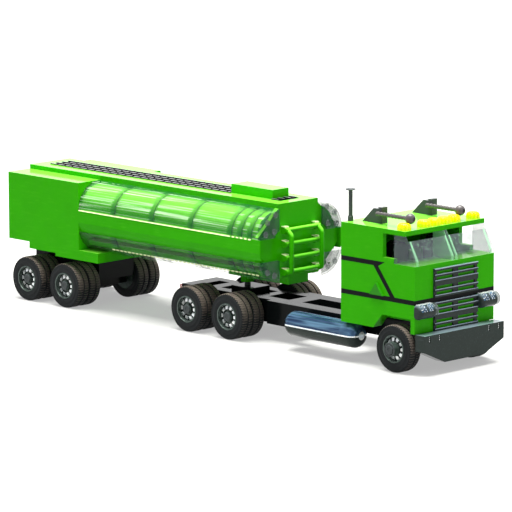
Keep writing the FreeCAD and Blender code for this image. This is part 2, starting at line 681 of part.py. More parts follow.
def cab_front():
    """Nose panel between the cab sides, with the ledge under the windscreen and the band inlay."""
    panel = block("nose_panel", "cab_x + cab_length - wall", "-(cab_half - wall)", "base_z",
                  "wall", "2 * (cab_half - wall)", "nose_height")
    ledge = block("nose_ledge", "cab_x + screen_back", "-(cab_half - wall)",
                  "base_z + nose_height - plate", "cab_length - wall - screen_back",
                  "2 * (cab_half - wall)", "plate")
    band = block("front_band_cut", "cab_x + cab_length - inlay", "-cab_half", "base_z + band_rise",
                 "inlay", "2 * cab_half", "plate")
    return cut("cab_front", fuse("nose", [panel, ledge]), [band])


def cab_back():
    """Rear wall between the cab sides."""
    return block("cab_back", "cab_x", "-(cab_half - wall)", "base_z", "wall",
                 "2 * (cab_half - wall)", "cab_height - plate")


def cab_roof():
    """Roof plate that runs forward into the visor."""
    return block("cab_roof", "cab_x", "-cab_half", "base_z + cab_height - plate", "roof_front",
                 "2 * cab_half", "plate")


def cab_floor():
    """Floor plate between the thick lower edges of the sides."""
    return block("cab_floor", "cab_x + wall", "-(cab_half - sill_depth)", "base_z + riser",
                 "cab_length - 2 * wall", "2 * (cab_half - sill_depth)", "floor_top - riser")


def windscreens():
    """Two clear half screens: slanted panes with upright cheeks and a low lip."""
    outer = [("screen_back + screen_gap", "nose_height + screen_gap"),
             ("cab_length", "nose_height + screen_gap"),
             ("cab_length", "nose_height + screen_gap + screen_lip"),
             ("roof_front", "cab_height - plate - screen_gap"),
             ("screen_back + screen_gap", "cab_height - plate - screen_gap")]
    inner = [("screen_back - plate", "nose_height - plate"),
             ("cab_length - screen_wall", "nose_height - plate"),
             ("cab_length - screen_wall", "nose_height + screen_lip"),
             ("roof_front - screen_wall", "cab_height"),
             ("screen_back - plate", "cab_height")]
    form = new_body("screen_form", "cab_x", "-cab_half", "base_z")
    pad(form, "XZ_Plane", [outer], "cab_half - screen_gap", back=True)
    hollow = new_body("screen_hollow", "cab_x", "-cab_half + screen_wall", "base_z")
    pad(hollow, "XZ_Plane", [inner], "cab_half - screen_gap - 2 * screen_wall", back=True)
    return pair("windscreens", cut("windscreen_right", form, [hollow]))


def seats():
    """Two seats with rounded backs on the cab floor."""
    base = block("seat_base", "cab_x + seat_back", "-seat_side - seat_width / 2", "base_z + floor_top",
                 "seat_thick + seat_reach", "seat_width", "seat_level - floor_top")
    back = block("seat_back_block", "cab_x + seat_back", "-seat_side - seat_width / 2",
                 "base_z + floor_top", "seat_thick", "seat_width",
                 "seat_rise - floor_top - seat_width / 2")
    crown = prism("seat_crown", "X", "cab_x + seat_back", "-seat_side",
                  "base_z + seat_rise - seat_width / 2", RIM_SIDES, "seat_width / 2", "seat_thick")
    seat = fuse("seat_right", [base, back, crown])
    bar = block("seat_bar", "cab_x + seat_back", "-seat_side", "base_z + seat_bar_rise", "plate",
                "2 * seat_side", "plate")
    return fuse("seats", [seat, mirror("seat_left", seat), bar])


def bumper():
    """Deep front bumper with slanted lower corners and two upright slots on each side."""
    body = new_body("bumper_blank", "cab_x + frame_nose", 0, "base_z")
    pad(body, "YZ_Plane", [[
        ("-bumper_half", 0), ("-bumper_half", "-bumper_end"), ("-bumper_low_half", "-bumper_depth"),
        ("bumper_low_half", "-bumper_depth"), ("bumper_half", "-bumper_end"), ("bumper_half", 0),
    ]], "bumper_thick")
    places = ("-slot_side", "-slot_side + slot_pitch", "slot_side - slot_pitch", "slot_side")
    slots = [block(f"bumper_slot_{n}", "cab_x + bumper_reach - slot_depth", f"{y} - slot_width / 2",
                   "base_z - slot_drop - slot_height", "2 * slot_depth", "slot_width", "slot_height")
             for n, y in enumerate(places)]
    return cut("bumper", body, slots)


def grille_block(label, z):
    """One grille block: posts joined by four thin bars and a thick middle bar."""
    pitch = "(grille_height - 4 * grille_bar - grille_thick) / 4"
    heights = ["0", f"grille_bar + {pitch}", f"2 * grille_bar + 2 * {pitch}",
               f"2 * grille_bar + grille_thick + 3 * {pitch}", "grille_height - grille_bar"]
    tall = ["grille_bar", "grille_bar", "grille_thick", "grille_bar", "grille_bar"]
    bars = [block(f"{label}_bar_{n}", "cab_x + cab_length", "-grille_half", f"{z} + {low}",
                  "grille_out", "2 * grille_half", high)
            for n, (low, high) in enumerate(zip(heights, tall))]
    posts = [block(f"{label}_post_{n}", "cab_x + cab_length", y, z, "grille_out / 2", width,
                   "grille_height")
             for n, (y, width) in enumerate((("-grille_half", "grille_post"),
                                             ("-grille_mid / 2", "grille_mid"),
                                             ("grille_half - grille_post", "grille_post")))]
    return fuse(label, bars + posts)


def grille():
    """Two grille blocks, above and below the band."""
    return group("grille", [grille_block("grille_low", "base_z"),
                            grille_block("grille_high", "base_z + band_rise + plate")])


def headlamps():
    """Round-nosed lamps that lie across the nose beside the grille, flat against it."""
    made = []
    for n, y in enumerate(("-(lamp_inner + lamp_length)", "lamp_inner")):
        tube = prism(f"lamp_tube_{n}", "Y", "cab_x + cab_length + lamp_out", y, "base_z + lamp_rise",
                     RIM_SIDES, "lamp_radius", "lamp_length - lens_width")
        nose = rounded(f"lamp_nose_{n}", tube, "lamp_round", "Y", (min,))
        back = block(f"lamp_back_{n}", "cab_x", y, "base_z", "cab_length", "lamp_length", "nose_height")
        made.append(cut(f"headlamp_{n}", nose, [back]))
    return group("headlamps", made)


def lamp_discs():
    """Clear discs at the left ends of the headlamps."""
    made = []
    for n, y in enumerate(("-lamp_inner - lens_width", "lamp_inner + lamp_length - lens_width")):
        disc = prism(f"disc_round_{n}", "Y", "cab_x + cab_length + lamp_out", y, "base_z + lamp_rise",
                     RIM_SIDES, "lens_radius", "lens_width")
        back = block(f"disc_back_{n}", "cab_x", y, "base_z", "cab_length", "lens_width", "nose_height")
        made.append(cut(f"lamp_disc_{n}", disc, [back]))
    return group("lamp_discs", made)


def horn_brackets():
    """Wedge brackets on the roof, each on the left of its horn."""
    made = []
    for word, y in (("right", "-horn_right"), ("left", "horn_left")):
        body = new_body(f"bracket_{word}", "cab_x + bracket_back", f"{y} + bar_radius + seat_play", "roof_z")
        pad(body, "XZ_Plane", [[
            (0, 0), ("bracket_length", 0), ("bracket_length", "bracket_height"),
            ("bracket_length * 5 / 6", "bracket_height"),
            ("bracket_length * 5 / 6", "bracket_height - bracket_step"),
            ("bracket_length * 4 / 7", "bracket_height - bracket_step"),
        ]], "bracket_width", back=True)
        made.append(body)
    return group("horn_brackets", made)


def horns():
    """Horn tubes with round bells, held beside the brackets over the roof."""
    made = []
    for word, y in (("right", "-horn_right"), ("left", "horn_left")):
        tube = prism(f"horn_tube_{word}", "X", "cab_x + horn_back", y, "roof_z + horn_rise", TUBE_SIDES,
                     "bar_radius", "horn_length")
        bell = prism(f"horn_bell_{word}", "X", "cab_x + horn_back + horn_length - bell_length / 2", y,
                     "roof_z + horn_rise", TUBE_SIDES, "bell_radius", "bell_length")
        made.append(fuse(f"horn_{word}", [tube, rounded(f"bell_{word}", bell, "bell_round", "X", (min, max))]))
    return group("horns", made)


def roof_lamps():
    """Six yellow lamps along the visor: four in the middle and one at each end."""
    made = []
    for n, y in enumerate(("beacon_pitch / 2", "beacon_pitch * 3 / 2", "beacon_side")):
        drum = prism(f"beacon_drum_{n}", "Z", "cab_x + roof_front - beacon_set", y, "roof_z", LAMP_SIDES,
                     "beacon_size / 2", "beacon_height")
        made.append(bevelled(f"beacon_{n}", drum, "beacon_round", "Z", (max,)))
    return group("roof_lamps", made + [mirror(f"beacon_other_{n}", item) for n, item in enumerate(made)])


def exhaust_stack():
    """Thin exhaust stack on the right rear corner of the roof."""
    place = ("cab_x + stack_back", "-stack_side")
    foot = prism("stack_base", "Z", *place, "roof_z", LAMP_SIDES, "stack_ring", "stack_foot")
    pipe = prism("stack_tube", "Z", *place, "roof_z", LAMP_SIDES, "stack_pipe", "stack_height")
    lid = prism("stack_top", "Z", *place, "roof_z + stack_height", LAMP_SIDES, "stack_cap", "stack_lid")
    return fuse("exhaust_stack", [foot, pipe, lid])


def trailer_box():
    """Solid rear box of the trailer with its stepped lower part over the wheels."""
    body = new_body("trailer_box", "pin_x", 0, "base_z")
    pad(body, "XZ_Plane", [[
        ("-tail_reach", "box_rise"), ("-skirt_back", "box_rise"), ("-skirt_back", "skirt_high"),
        ("-skirt_step", "skirt_high"), ("-skirt_step", "skirt_low"), ("-skirt_front", "skirt_low"),
        ("-skirt_front", "box_rise"), ("-box_front", "box_rise"), ("-box_front", "box_top"),
        ("-tail_reach", "box_top"),
    ]], "2 * box_half", middle=True)
    return body


def trailer_deck():
    """Raised deck along the middle of the whole trailer."""
    body = new_body("trailer_deck", "pin_x", 0, "base_z")
    pad(body, "XZ_Plane", [[
        ("-tail_reach", "box_top"), ("-box_front", "box_top"), ("-box_front", "hull_top"),
        ("tank_front - wall", "hull_top"), ("tank_front - wall", "box_top"), ("tank_front", "box_top"),
        ("tank_front", "deck_top"), ("-tail_reach", "deck_top"),
    ]], "2 * deck_half", middle=True)
    return body


def hatch():
    """Closed hatch box on the deck."""
    return block("hatch", "pin_x - hatch_back", "-hatch_half", "base_z + deck_top", "hatch_length",
                 "2 * hatch_half", "hatch_height")


def deck_grating():
    """Lengthwise grating bars behind and ahead of the hatch."""
    runs = (("-grate_back", "-hatch_back"), ("-hatch_back + hatch_length", "grate_front"))
    made = []
    for n, (start, end) in enumerate(runs):
        made += [block(f"grate_{n}_bar_{k}", f"pin_x + {start}",
                      f"-grate_half + {k} * (2 * grate_half - grate_bar) / 5", "base_z + deck_top",
                      f"{end} - ({start})", "grate_bar", "grate_height") for k in range(6)]
    return group("deck_grating", made)


def tank():
    """Inner tank with wide round corners."""
    blank = block("tank_blank", "pin_x - box_front", "-hull_half", "base_z + hull_low",
                  "box_front + tank_front - wall", "2 * hull_half", "hull_top - hull_low")
    item = DOCUMENT.addObject("Part::Fillet", "tank")
    item.Base = blank
    blank.recompute(True)
    radius = float(item.evalExpression(rule("hull_round")))
    item.Edges = [(n, radius, radius) for n, edge in enumerate(blank.Shape.Edges, start=1)
                  if abs(edge.tangentAt(edge.FirstParameter).x) > 0.9]
    return item


def side_belts():
    """Green belts along the tank sides, curved in below and thinner beside the bulkhead."""
    body = new_body("belt_side", "pin_x - box_front", 0, "base_z")
    pad(body, "YZ_Plane", [[
        ("-box_half", "belt_top"), ("-box_half", "belt_flat"),
        ("-box_half + plate / 4", "belt_low + plate"), ("-hull_half - plate / 4", "belt_low"),
        ("-hull_half", "belt_low"), ("-hull_half", "belt_top"),
    ]], "box_front + cover_front")
    notch = block("belt_notch", "pin_x + tank_front - wall", "-bulk_half", "base_z",
                  "wall + cover_front", "bulk_half", "box_top")
    return pair("side_belts", cut("belt_right", body, [notch]))


def belly():
    """Plate under the tank."""
    return block("belly", "pin_x - box_front", "-belly_half", "base_z + belly_low",
                 "box_front + tank_front - wall", "2 * belly_half", "plate")


def quarter(label, z, up, radius, depth, x, length):
    """A quarter ring along X at the right-hand side, over (up) or under its middle height."""
    middle = "-(box_half - cover_round)"
    outer = prism(label + "_outer", "X", x, middle, z, TYRE_SIDES, radius, length)
    inner = prism(label + "_inner", "X", x, middle, z, TYRE_SIDES, f"{radius} - {depth}", length)
    corner = block(label + "_corner", x, "-box_half", z if up else f"{z} - cover_round", length,
                   "cover_round", "cover_round")
    item = DOCUMENT.addObject("Part::MultiCommon", label)
    item.Shapes = [cut(label + "_ring", outer, [inner]), corner]
    return item


def ribbed_quarter(label, z, up):
    """A clear quarter-round cover over the whole tank, with ribs inside and a flange at the front."""
    shell = quarter(label + "_shell", z, up, "cover_round", "cover_wall", "pin_x - box_front",
                    "box_front + cover_front")
    ends = [f"cover_front - {n} * cover_short" for n in range(3)]
    ends += [f"cover_front - 3 * cover_short - {n} * cover_piece" for n in range(4)]
    ribs = [quarter(f"{label}_rib_{n}", z, up, "(cover_round - cover_wall)",
                    "cover_rib" if n else "cover_flange", f"pin_x + {place} - rib_width", "rib_width")
            for n, place in enumerate(ends)]
    return fuse(label, [shell] + ribs)


def upper_covers():
    """Clear quarter-round covers over the tank shoulders."""
    return pair("upper_covers", ribbed_quarter("upper_cover_right", "base_z + belt_top", True))


def lower_covers():
    """Clear quarter-round covers under the tank sides, up to the belts."""
    ring = ribbed_quarter("lower_cover_ring", "base_z + cover_low", False)
    rest = block("lower_cover_rest", "pin_x - box_front", "-box_half", "base_z + belt_low",
                 "box_front + cover_front", "cover_round", "cover_round")
    foot = block("lower_cover_foot", "pin_x - box_front", "-box_half", "base_z",
                 "box_front - skirt_front", "cover_round", "box_rise")
    return pair("lower_covers", cut("lower_cover_right", ring, [rest, foot]))


def bulkhead():
    """Eight-sided plate that closes the front of the tank, with the clips that hold the rack."""
    body = new_body("bulkhead_blank", "pin_x + tank_front - wall", 0, "base_z")
    right = [("-bulk_top_half", "bulk_low"), ("-bulk_half", "bulk_side_low"),
             ("-bulk_half", "bulk_side_high"), ("-bulk_top_half", "box_top")]
    left = [(across[1:], up) for across, up in reversed(right)]
    pad(body, "YZ_Plane", [right + left], "wall")
    clips = []
    bores = []
    for n in range(4):
        middle = f"base_z + rack_low + {n} * rack_pitch"
        clips.append(block(f"clip_{n}", "pin_x + tank_front - plate / 4", "-clip_side - clip_width / 2",
                           f"{middle} - bar_radius - clip_wall", "clip_reach + plate / 4", "clip_width",
                           "2 * (bar_radius + clip_wall)"))
        bores.append(prism(f"clip_bore_{n}", "Y", "pin_x + tank_front + rack_out", "-rack_half", middle,
                           TUBE_SIDES, "bar_radius + seat_play", "2 * rack_half"))
    others = [mirror(f"clip_other_{n}", clip) for n, clip in enumerate(clips)]
    return cut("bulkhead", fuse("bulkhead_clips", [body] + clips + others), bores)


def front_rack():
    """Four bars held by the clips, and two upright tubes ahead of them, bent back at both ends."""
    x = "pin_x + tank_front + rack_out"
    bars = [prism(f"rack_bar_{n}", "Y", x, "-rack_half", f"base_z + rack_low + {n} * rack_pitch",
                  TUBE_SIDES, "bar_radius", "2 * rack_half") for n in range(4)]
    top = "base_z + rack_low + 3 * rack_pitch - rack_bend"
    tube = prism("rack_tube", "Z", f"{x} + rack_tube_out", "-rack_tube_side", "base_z + rack_low",
                 TUBE_SIDES, "bar_radius", "3 * rack_pitch - rack_bend")
    foot = prism("rack_foot", "X", x, "-rack_tube_side", "base_z + rack_low", TUBE_SIDES, "bar_radius",
                 "rack_tube_out")
    bend = prism("rack_bend", "Z", f"{x} + rack_tube_out", "-rack_tube_side", top, TUBE_SIDES,
                 "bar_radius", "sqrt(rack_tube_out ^ 2 + rack_bend ^ 2) - bar_radius / 2")
    lean = float(bend.evalExpression(rule("atan(rack_tube_out / rack_bend)")))
    turn(bend, FreeCAD.Vector(0, 1, 0), -lean)
    side = [tube, foot, bend]
    return fuse("front_rack", bars + side + [mirror(f"{item.Label}_other", item) for item in side])


def neck():
    """King pin block under the tank, with the round turntable that sits on the pin collar."""
    beam = new_body("neck_beam", "pin_x", 0, "base_z")
    pad(beam, "XZ_Plane", [[
        ("-neck_back", "neck_low"), ("tank_front", "neck_low"), ("tank_front", "bulk_low"),
        ("tank_front - wall", "bulk_low"), ("tank_front - wall", "belly_low"), ("-neck_back", "belly_low"),
    ]], "2 * neck_half", middle=True)
    table = prism("neck_table", "Z", "pin_x", 0, "base_z + pin_rise + end_play", RIM_SIDES,
                  "table_radius", "table_height")
    bore = rod("neck_bore", "Z", "pin_x", 0, "base_z", "bar_radius + run_play", "pin_top + end_play")
    return cut("neck", fuse("neck_solid", [beam, table]), [bore])


def bogie():
    """Black bogie block under the rear box, with a hanger round each trailer axle."""
    blank = new_body("bogie_blank", "pin_x", 0, "base_z")
    hangers = []
    for sign in ("-", "+"):
        middle = f"-bogie_back {sign} bogie_half"
        hangers += [(f"{middle} - bogie_hanger", "-bogie_depth"), (f"{middle} - bogie_hanger", "-bogie_low"),
                    (f"{middle} + bogie_hanger", "-bogie_low"), (f"{middle} + bogie_hanger", "-bogie_depth")]
    pad(blank, "XZ_Plane", [[("-bogie_tail", "-bogie_depth")] + hangers + [
        ("-bogie_front", "-bogie_depth"), ("-bogie_front", "skirt_low"),
        ("-skirt_step", "skirt_low"), ("-skirt_step", "skirt_high"), ("-skirt_back", "skirt_high"),
        ("-skirt_back", "box_rise"), ("-bogie_tail", "box_rise"),
    ]], "2 * bogie_width", middle=True)
    holes = axle_holes("bogie_hole", [f"pin_x - bogie_back {sign} bogie_half" for sign in ("-", "+")])
    return cut("bogie", blank, holes)


def trailer_axles():
    """The two trailer axles."""
    return group("trailer_axles", [
        axle("trailer_axle_rear", "pin_x - bogie_back - bogie_half", *TWIN_AXLE),
        axle("trailer_axle_front", "pin_x - bogie_back + bogie_half", *TWIN_AXLE),
    ])


def main():
    """Builds every sub-part, checks the document and writes one file for each node."""
    side = cab_side()
    nodes = [
        tractor_frame(), tractor_axles(), king_pin(), tail_lamps(), fuel_tanks(), fuel_brackets(),
        side, mirror("cab_side_left", side), cab_stripes(), side_wedges(), cab_front(), cab_back(),
        cab_roof(), cab_floor(), windscreens(), seats(), bumper(), grille(), headlamps(),
        lamp_discs(), horn_brackets(), horns(), roof_lamps(), exhaust_stack(),
        trailer_box(), trailer_deck(), hatch(), deck_grating(), tank(), side_belts(), belly(),
        upper_covers(), lower_covers(), bulkhead(), front_rack(), neck(), bogie(), trailer_axles(),
    ] + wheels()
    DOCUMENT.recompute()
    for item in DOCUMENT.Objects:
        if any(word in item.State for word in ("Invalid", "Error")):
            raise RuntimeError(f"{item.Label} failed: {item.State}")
    for node in nodes:
        if node.Shape.isNull() or not node.Shape.isValid():
            raise RuntimeError(f"{node.Label} has no valid shape")
    os.makedirs("parts", exist_ok=True)
    for node in nodes:
        node.Shape.exportStep(f"parts/{node.Label}.step")
    print(f"{len(nodes)} nodes written")


main()
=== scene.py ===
"""Looks of a brick-built toy tanker truck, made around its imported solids.

The frame's lengths are metres: X forward, Y to the left, Z up, floor at Z 0.
New pieces are drawn in millimetres of the same frame and scaled once, when they are done.
"""

import logging
import math
from collections.abc import Callable, Iterable, Sequence
from dataclasses import dataclass, field
from enum import Enum
from typing import Any

import bmesh
import bpy
from mathutils import Matrix, Vector


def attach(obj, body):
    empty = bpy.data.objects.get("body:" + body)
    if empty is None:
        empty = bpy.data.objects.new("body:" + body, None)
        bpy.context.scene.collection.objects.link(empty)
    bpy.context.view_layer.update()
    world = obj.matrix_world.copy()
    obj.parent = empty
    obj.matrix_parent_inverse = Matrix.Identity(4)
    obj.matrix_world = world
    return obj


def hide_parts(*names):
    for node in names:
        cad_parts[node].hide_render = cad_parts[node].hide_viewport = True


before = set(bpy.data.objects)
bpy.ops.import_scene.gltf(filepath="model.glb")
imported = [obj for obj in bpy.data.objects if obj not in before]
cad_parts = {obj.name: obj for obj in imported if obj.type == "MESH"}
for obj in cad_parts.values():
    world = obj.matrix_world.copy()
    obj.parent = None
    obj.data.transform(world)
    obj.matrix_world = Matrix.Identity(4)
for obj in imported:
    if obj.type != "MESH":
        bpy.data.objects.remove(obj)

LOG = logging.getLogger("tanker")
MM = 0.001
FULL_TURN = 2 * math.pi
WELD = 0.0005
SMOOTH_BELOW = math.radians(32)
BROKEN_ABOVE = math.radians(40)
Colour = tuple[float, float, float]
Point = tuple[float, float, float]
Flat = tuple[float, float]
CLEAR_IOR = 1.49
WHITE = (1.0, 1.0, 1.0)
DARK = (0.0, 0.0, 0.0)

# Places shared by several pieces, in millimetres.
NOSE_X = 195.4
FRAME_TOP = 27.6
ROOF_TOP = 94.8
AXLE_Z = 16.0
STEER_X = 178.2
TWIN_X = {"drive_rear": -19.8, "drive_front": 20.2, "trailer_rear": -186.3, "trailer_front": -146.3}

# Inner and outer ends of an axle's shanks from the middle of the toy, in millimetres.
STEER_REACH = (30.1, 43.6)
TWIN_REACH = (18.2, 38.8)


def linear(red: int, green: int, blue: int) -> Colour:
    """The linear colour of a display colour whose channels run from 0 to 255."""
    shares = (value / 255 for value in (red, green, blue))
    return tuple(s / 12.92 if s <= 0.04045 else ((s + 0.055) / 1.055) ** 2.4 for s in shares)


def quarter(radius: float, reach: float, steps: int = 6) -> list[Flat]:
    """The rounded start of a turned form.

    Args:
        radius: radius of the form.
        reach: radius of the rounding.
        steps: faces along it.

    Returns:
        Place along the axis and radius of each point.
    """
    angles = [math.pi / 2 * n / steps for n in range(steps + 1)]
    return [(reach * (1 - math.cos(a)), radius - reach * (1 - math.sin(a))) for a in angles]


def wave(angle: float) -> float:
    """A smooth ripple from 0 to 1, which is 1 at angle 0."""
    return 0.5 + 0.5 * math.cos(angle)


def shade(colour: Colour, factor: float) -> Colour:
    """A colour made darker or lighter by a factor, kept within 1."""
    return tuple(min(1.0, part * factor) for part in colour)


class Wire:
    """One output of a shader node, for use in Python sums."""

    def __init__(self, bench: "Bench", socket: bpy.types.NodeSocket | None) -> None:
        """Wraps a socket of the bench's tree, or None for a node without an output."""
        self.bench = bench
        self.socket = socket

    def _sum(self, operation: str, first: "Wire | float", second: "Wire | float") -> "Wire":
        """Adds a Math node on two values and gives its result."""
        return self.bench.node("ShaderNodeMath", {"operation": operation}, {0: first, 1: second})

    def __add__(self, other: "Wire | float") -> "Wire":
        """self + other."""
        return self._sum("ADD", self, other)

    __radd__ = __add__

    def __sub__(self, other: "Wire | float") -> "Wire":
        """self - other."""
        return self._sum("SUBTRACT", self, other)

    def __rsub__(self, other: "Wire | float") -> "Wire":
        """other - self."""
        return self._sum("SUBTRACT", other, self)

    def __mul__(self, other: "Wire | float") -> "Wire":
        """self * other."""
        return self._sum("MULTIPLY", self, other)

    __rmul__ = __mul__

    def __gt__(self, other: "Wire | float") -> "Wire":
        """1 where self is over other, else 0."""
        return self._sum("GREATER_THAN", self, other)

    def spread(
        self, low: float, high: float, to_low: float = 0.0, to_high: float = 1.0
    ) -> "Wire":
        """Maps a stretch of values to another, held at its ends.

        Args:
            low: value that becomes to_low.
            high: value that becomes to_high.
            to_low: result at low.
            to_high: result at high.

        Returns:
            The mapped value.
        """
        values = {"Value": self, "From Min": low, "From Max": high}
        values |= {"To Min": to_low, "To Max": to_high}
        return self.bench.node("ShaderNodeMapRange", {"clamp": True}, values, "Result")


class Bench:
    """One node tree, and the one way to add nodes to it."""

    def __init__(self, tree: bpy.types.NodeTree) -> None:
        """Empties the node tree of a material or a world."""
        self.tree = tree
        self.tree.nodes.clear()

    def node(
        self,
        kind: str,
        settings: dict[str, Any] | None = None,
        values: dict[str | int, Any] | None = None,
        out: str | int = 0,
    ) -> Wire:
        """Adds a node.

        Args:
            kind: the node's type.
            settings: properties that are set before its sockets.
            values: number, colour or wire of each input socket, by name or place.
            out: the output that is returned.

        Returns:
            The output, or an empty wire where the node has none.
        """
        made = self.tree.nodes.new(kind)
        for name, value in (settings or {}).items():
            setattr(made, name, value)
        for name, value in (values or {}).items():
            if isinstance(value, Wire):
                self.tree.links.new(value.socket, made.inputs[name])
            elif isinstance(value, tuple) and len(value) == 3 and made.inputs[name].type == "RGBA":
                made.inputs[name].default_value = (*value, 1.0)
            else:
                made.inputs[name].default_value = value
        return Wire(self, made.outputs[out] if made.outputs else None)

    def place(self) -> Wire:
        """The point on the object, in its own metres."""
        return self.node("ShaderNodeTexCoord", out="Object")

    def along(self, axis: str) -> Wire:
        """One coordinate of the point, in millimetres of the frame."""
        return self.node("ShaderNodeSeparateXYZ", values={0: self.place()}, out=axis) * (1 / MM)

    def facing(self, axis: str) -> Wire:
        """How far a face looks along an axis, from -1 to 1."""
        normal = self.node("ShaderNodeNewGeometry", out="Normal")
        return self.node("ShaderNodeSeparateXYZ", values={0: normal}, out=axis)

    def noise(self, size: float, detail: float = 2.0, stretch: float = 1.0) -> Wire:
        """Soft noise from 0 to 1.

        Args:
            size: width of one blotch in metres.
            detail: number of finer layers.
            stretch: how many times longer a blotch is along X.

        Returns:
            The noise.
        """
        scale = (1.0 / stretch, 1.0, 1.0)
        point = self.node("ShaderNodeMapping", values={"Vector": self.place(), "Scale": scale})
        values = {"Vector": point, "Scale": 1 / size, "Detail": detail}
        return self.node("ShaderNodeTexNoise", values=values)

    def drift(self, colour: Colour) -> tuple[Wire, Wire]:
        """Flow marks of clear plastic along X.

        Args:
            colour: the plastic's colour.

        Returns:
            The marks from 0 to 1, and the colour that drifts with them.
        """
        marks = self.noise(0.006, 3.0, 6.0)
        return marks, self.blend(marks, shade(colour, 0.85), shade(colour, 1.15))

    def blend(
        self, share: Wire | float, first: Wire | Colour, second: Wire | Colour
    ) -> Wire:
        """A colour between two: a share of 0 gives the first, and 1 the second."""
        values = {0: share, 6: first, 7: second}
        return self.node("ShaderNodeMix", {"data_type": "RGBA"}, values, 2)

    def edges(self) -> Wire:
        """1 on outer edges and corners, 0 on flat faces, where Pointiness is a half."""
        return self.node("ShaderNodeNewGeometry", out="Pointiness").spread(0.505, 0.56)

    def upward(self) -> Wire:
        """1 on faces that look up, 0 on upright faces."""
        return self.facing("Z").spread(0.15, 0.7)

    def glancing(self) -> Wire:
        """1 where a face is seen nearly edge on, 0 where it is seen square or aslant."""
        aslant = self.node("ShaderNodeLayerWeight", values={"Blend": 0.5}, out="Facing")
        return aslant.spread(0.55, 0.8)

    def near(self, value: Wire, places: Sequence[float], half: float) -> Wire:
        """1 where a value lies near one of some places.

        Args:
            value: the value.
            places: the places.
            half: half the width of each stretch.

        Returns:
            1 or 0.
        """
        total = None
        for place in places:
            values = {0: value, 1: place, 2: half}
            inside = self.node("ShaderNodeMath", {"operation": "COMPARE"}, values)
            total = inside if total is None else total + inside
        return total.spread(0.0, 1.0)

    def bump(self, height: Wire, depth: float, strength: float = 1.0) -> Wire:
        """A normal from a height of 0 to 1, its depth in metres and the share that shows."""
        values = {"Height": height, "Distance": depth, "Strength": strength}
        return self.node("ShaderNodeBump", values=values, out="Normal")


def surface(name: str, draw: Callable[[Bench], dict[str, Any]]) -> bpy.types.Material:
    """A material with one surface shader.

    Args:
        name: the material's name.
        draw: adds the nodes and gives the value of each of the shader's sockets.

    Returns:
        The material.
    """
    material = bpy.data.materials.new(name)
    material.use_nodes = True
    bench = Bench(material.node_tree)
    shader = bench.node("ShaderNodeBsdfPrincipled", values=draw(bench), out="BSDF")
    bench.node("ShaderNodeOutputMaterial", values={"Surface": shader})
    return material


@dataclass(frozen=True)
class MouldedPlastic:
    """Moulded toy plastic with a faint orange-peel skin, rub marks, and a painted highlight on its
    top edges.

    The glance is how far faces seen nearly edge on shine. The last sizes are in metres.
    """

    name: str
    colour: Colour
    gloss: float = 0.1
    roughness: float = 0.14
    mottle: float = 0.04
    # Share of the painted highlight on edges that face upward.
    top_edge_highlight: float = 0.6
    glance: float = 0.75
    # Colour of that painted highlight; None gives a lighter copy of the colour.
    rim: Colour | None = None
    cloud_size: float = 0.018
    rub_size: float = 0.0011
    rub_stretch: float = 9.0
    peel_size: float = 0.0016
    peel_depth: float = 0.00002

    def draw(self, bench: Bench) -> dict[str, Any]:
        """Adds the finish's nodes.

        Args:
            bench: the material's node tree.

        Returns:
            The value of each of the shader's sockets.
        """
        cloud = bench.noise(self.cloud_size, 3.0)
        rub = bench.noise(self.rub_size, 4.0, self.rub_stretch).spread(0.55, 0.78)
        peel = bench.noise(self.peel_size, 1.0)
        dark, light = shade(self.colour, 1 - self.mottle), shade(self.colour, 1 + self.mottle)
        base = bench.blend(cloud.spread(0.3, 0.7), dark, light)
        # Painted highlight: edges that face upward are lightened towards the rim colour, as if lit
        # from above; the rub marks are real.
        lit_top_edges = self.top_edge_highlight * bench.edges() * bench.upward()
        rubbed_and_highlighted = bench.blend(lit_top_edges + rub * 0.05, base, self.rim or shade(self.colour, 1.9))
        return {
            "Base Color": rubbed_and_highlighted,
            "Roughness": self.roughness + 0.1 * rub + 0.04 * cloud,
            "Specular IOR Level": self.gloss,
            "Coat Weight": self.glance * bench.glancing(),
            "Coat Roughness": 0.1,
            "Normal": bench.bump(peel, self.peel_depth, 0.4),
        }


@dataclass(frozen=True)
class ClearPlastic:
    """Clear plastic with flow marks, painted highlight streaks along X, and painted highlight bands
    where upright edges would catch the light.

    The highlight bands' places and half width are in millimetres.
    """

    name: str
    colour: Colour
    # Colour of the painted highlight streaks and bands.
    streak: Colour
    density: float
    gloss: float = 0.3
    highlight_bands: Sequence[float] = ()
    highlight_band_half: float = 0.7

    def draw(self, bench: Bench) -> dict[str, Any]:
        """Adds the finish's nodes.

        Args:
            bench: the material's node tree.

        Returns:
            The value of each of the shader's sockets.
        """
        flow, tone = bench.drift(self.colour)
        # Painted highlight: pale streaks along X, and pale bands at set places across.
        lines = bench.noise(0.0012, 1.0, 70.0).spread(0.62, 0.7)
        clear = flow.spread(0.3, 0.7, self.density - 0.04, self.density + 0.04)
        pale = 0.5 * lines
        if self.highlight_bands:
            pale = pale + bench.near(bench.along("Y"), self.highlight_bands, self.highlight_band_half)
        return {
            "Base Color": bench.blend(pale.spread(0.0, 1.0), tone, self.streak),
            "Roughness": 0.08 + 0.06 * flow,
            "Alpha": clear + 0.2 * pale,
            "IOR": CLEAR_IOR,
            "Specular IOR Level": self.gloss,
        }


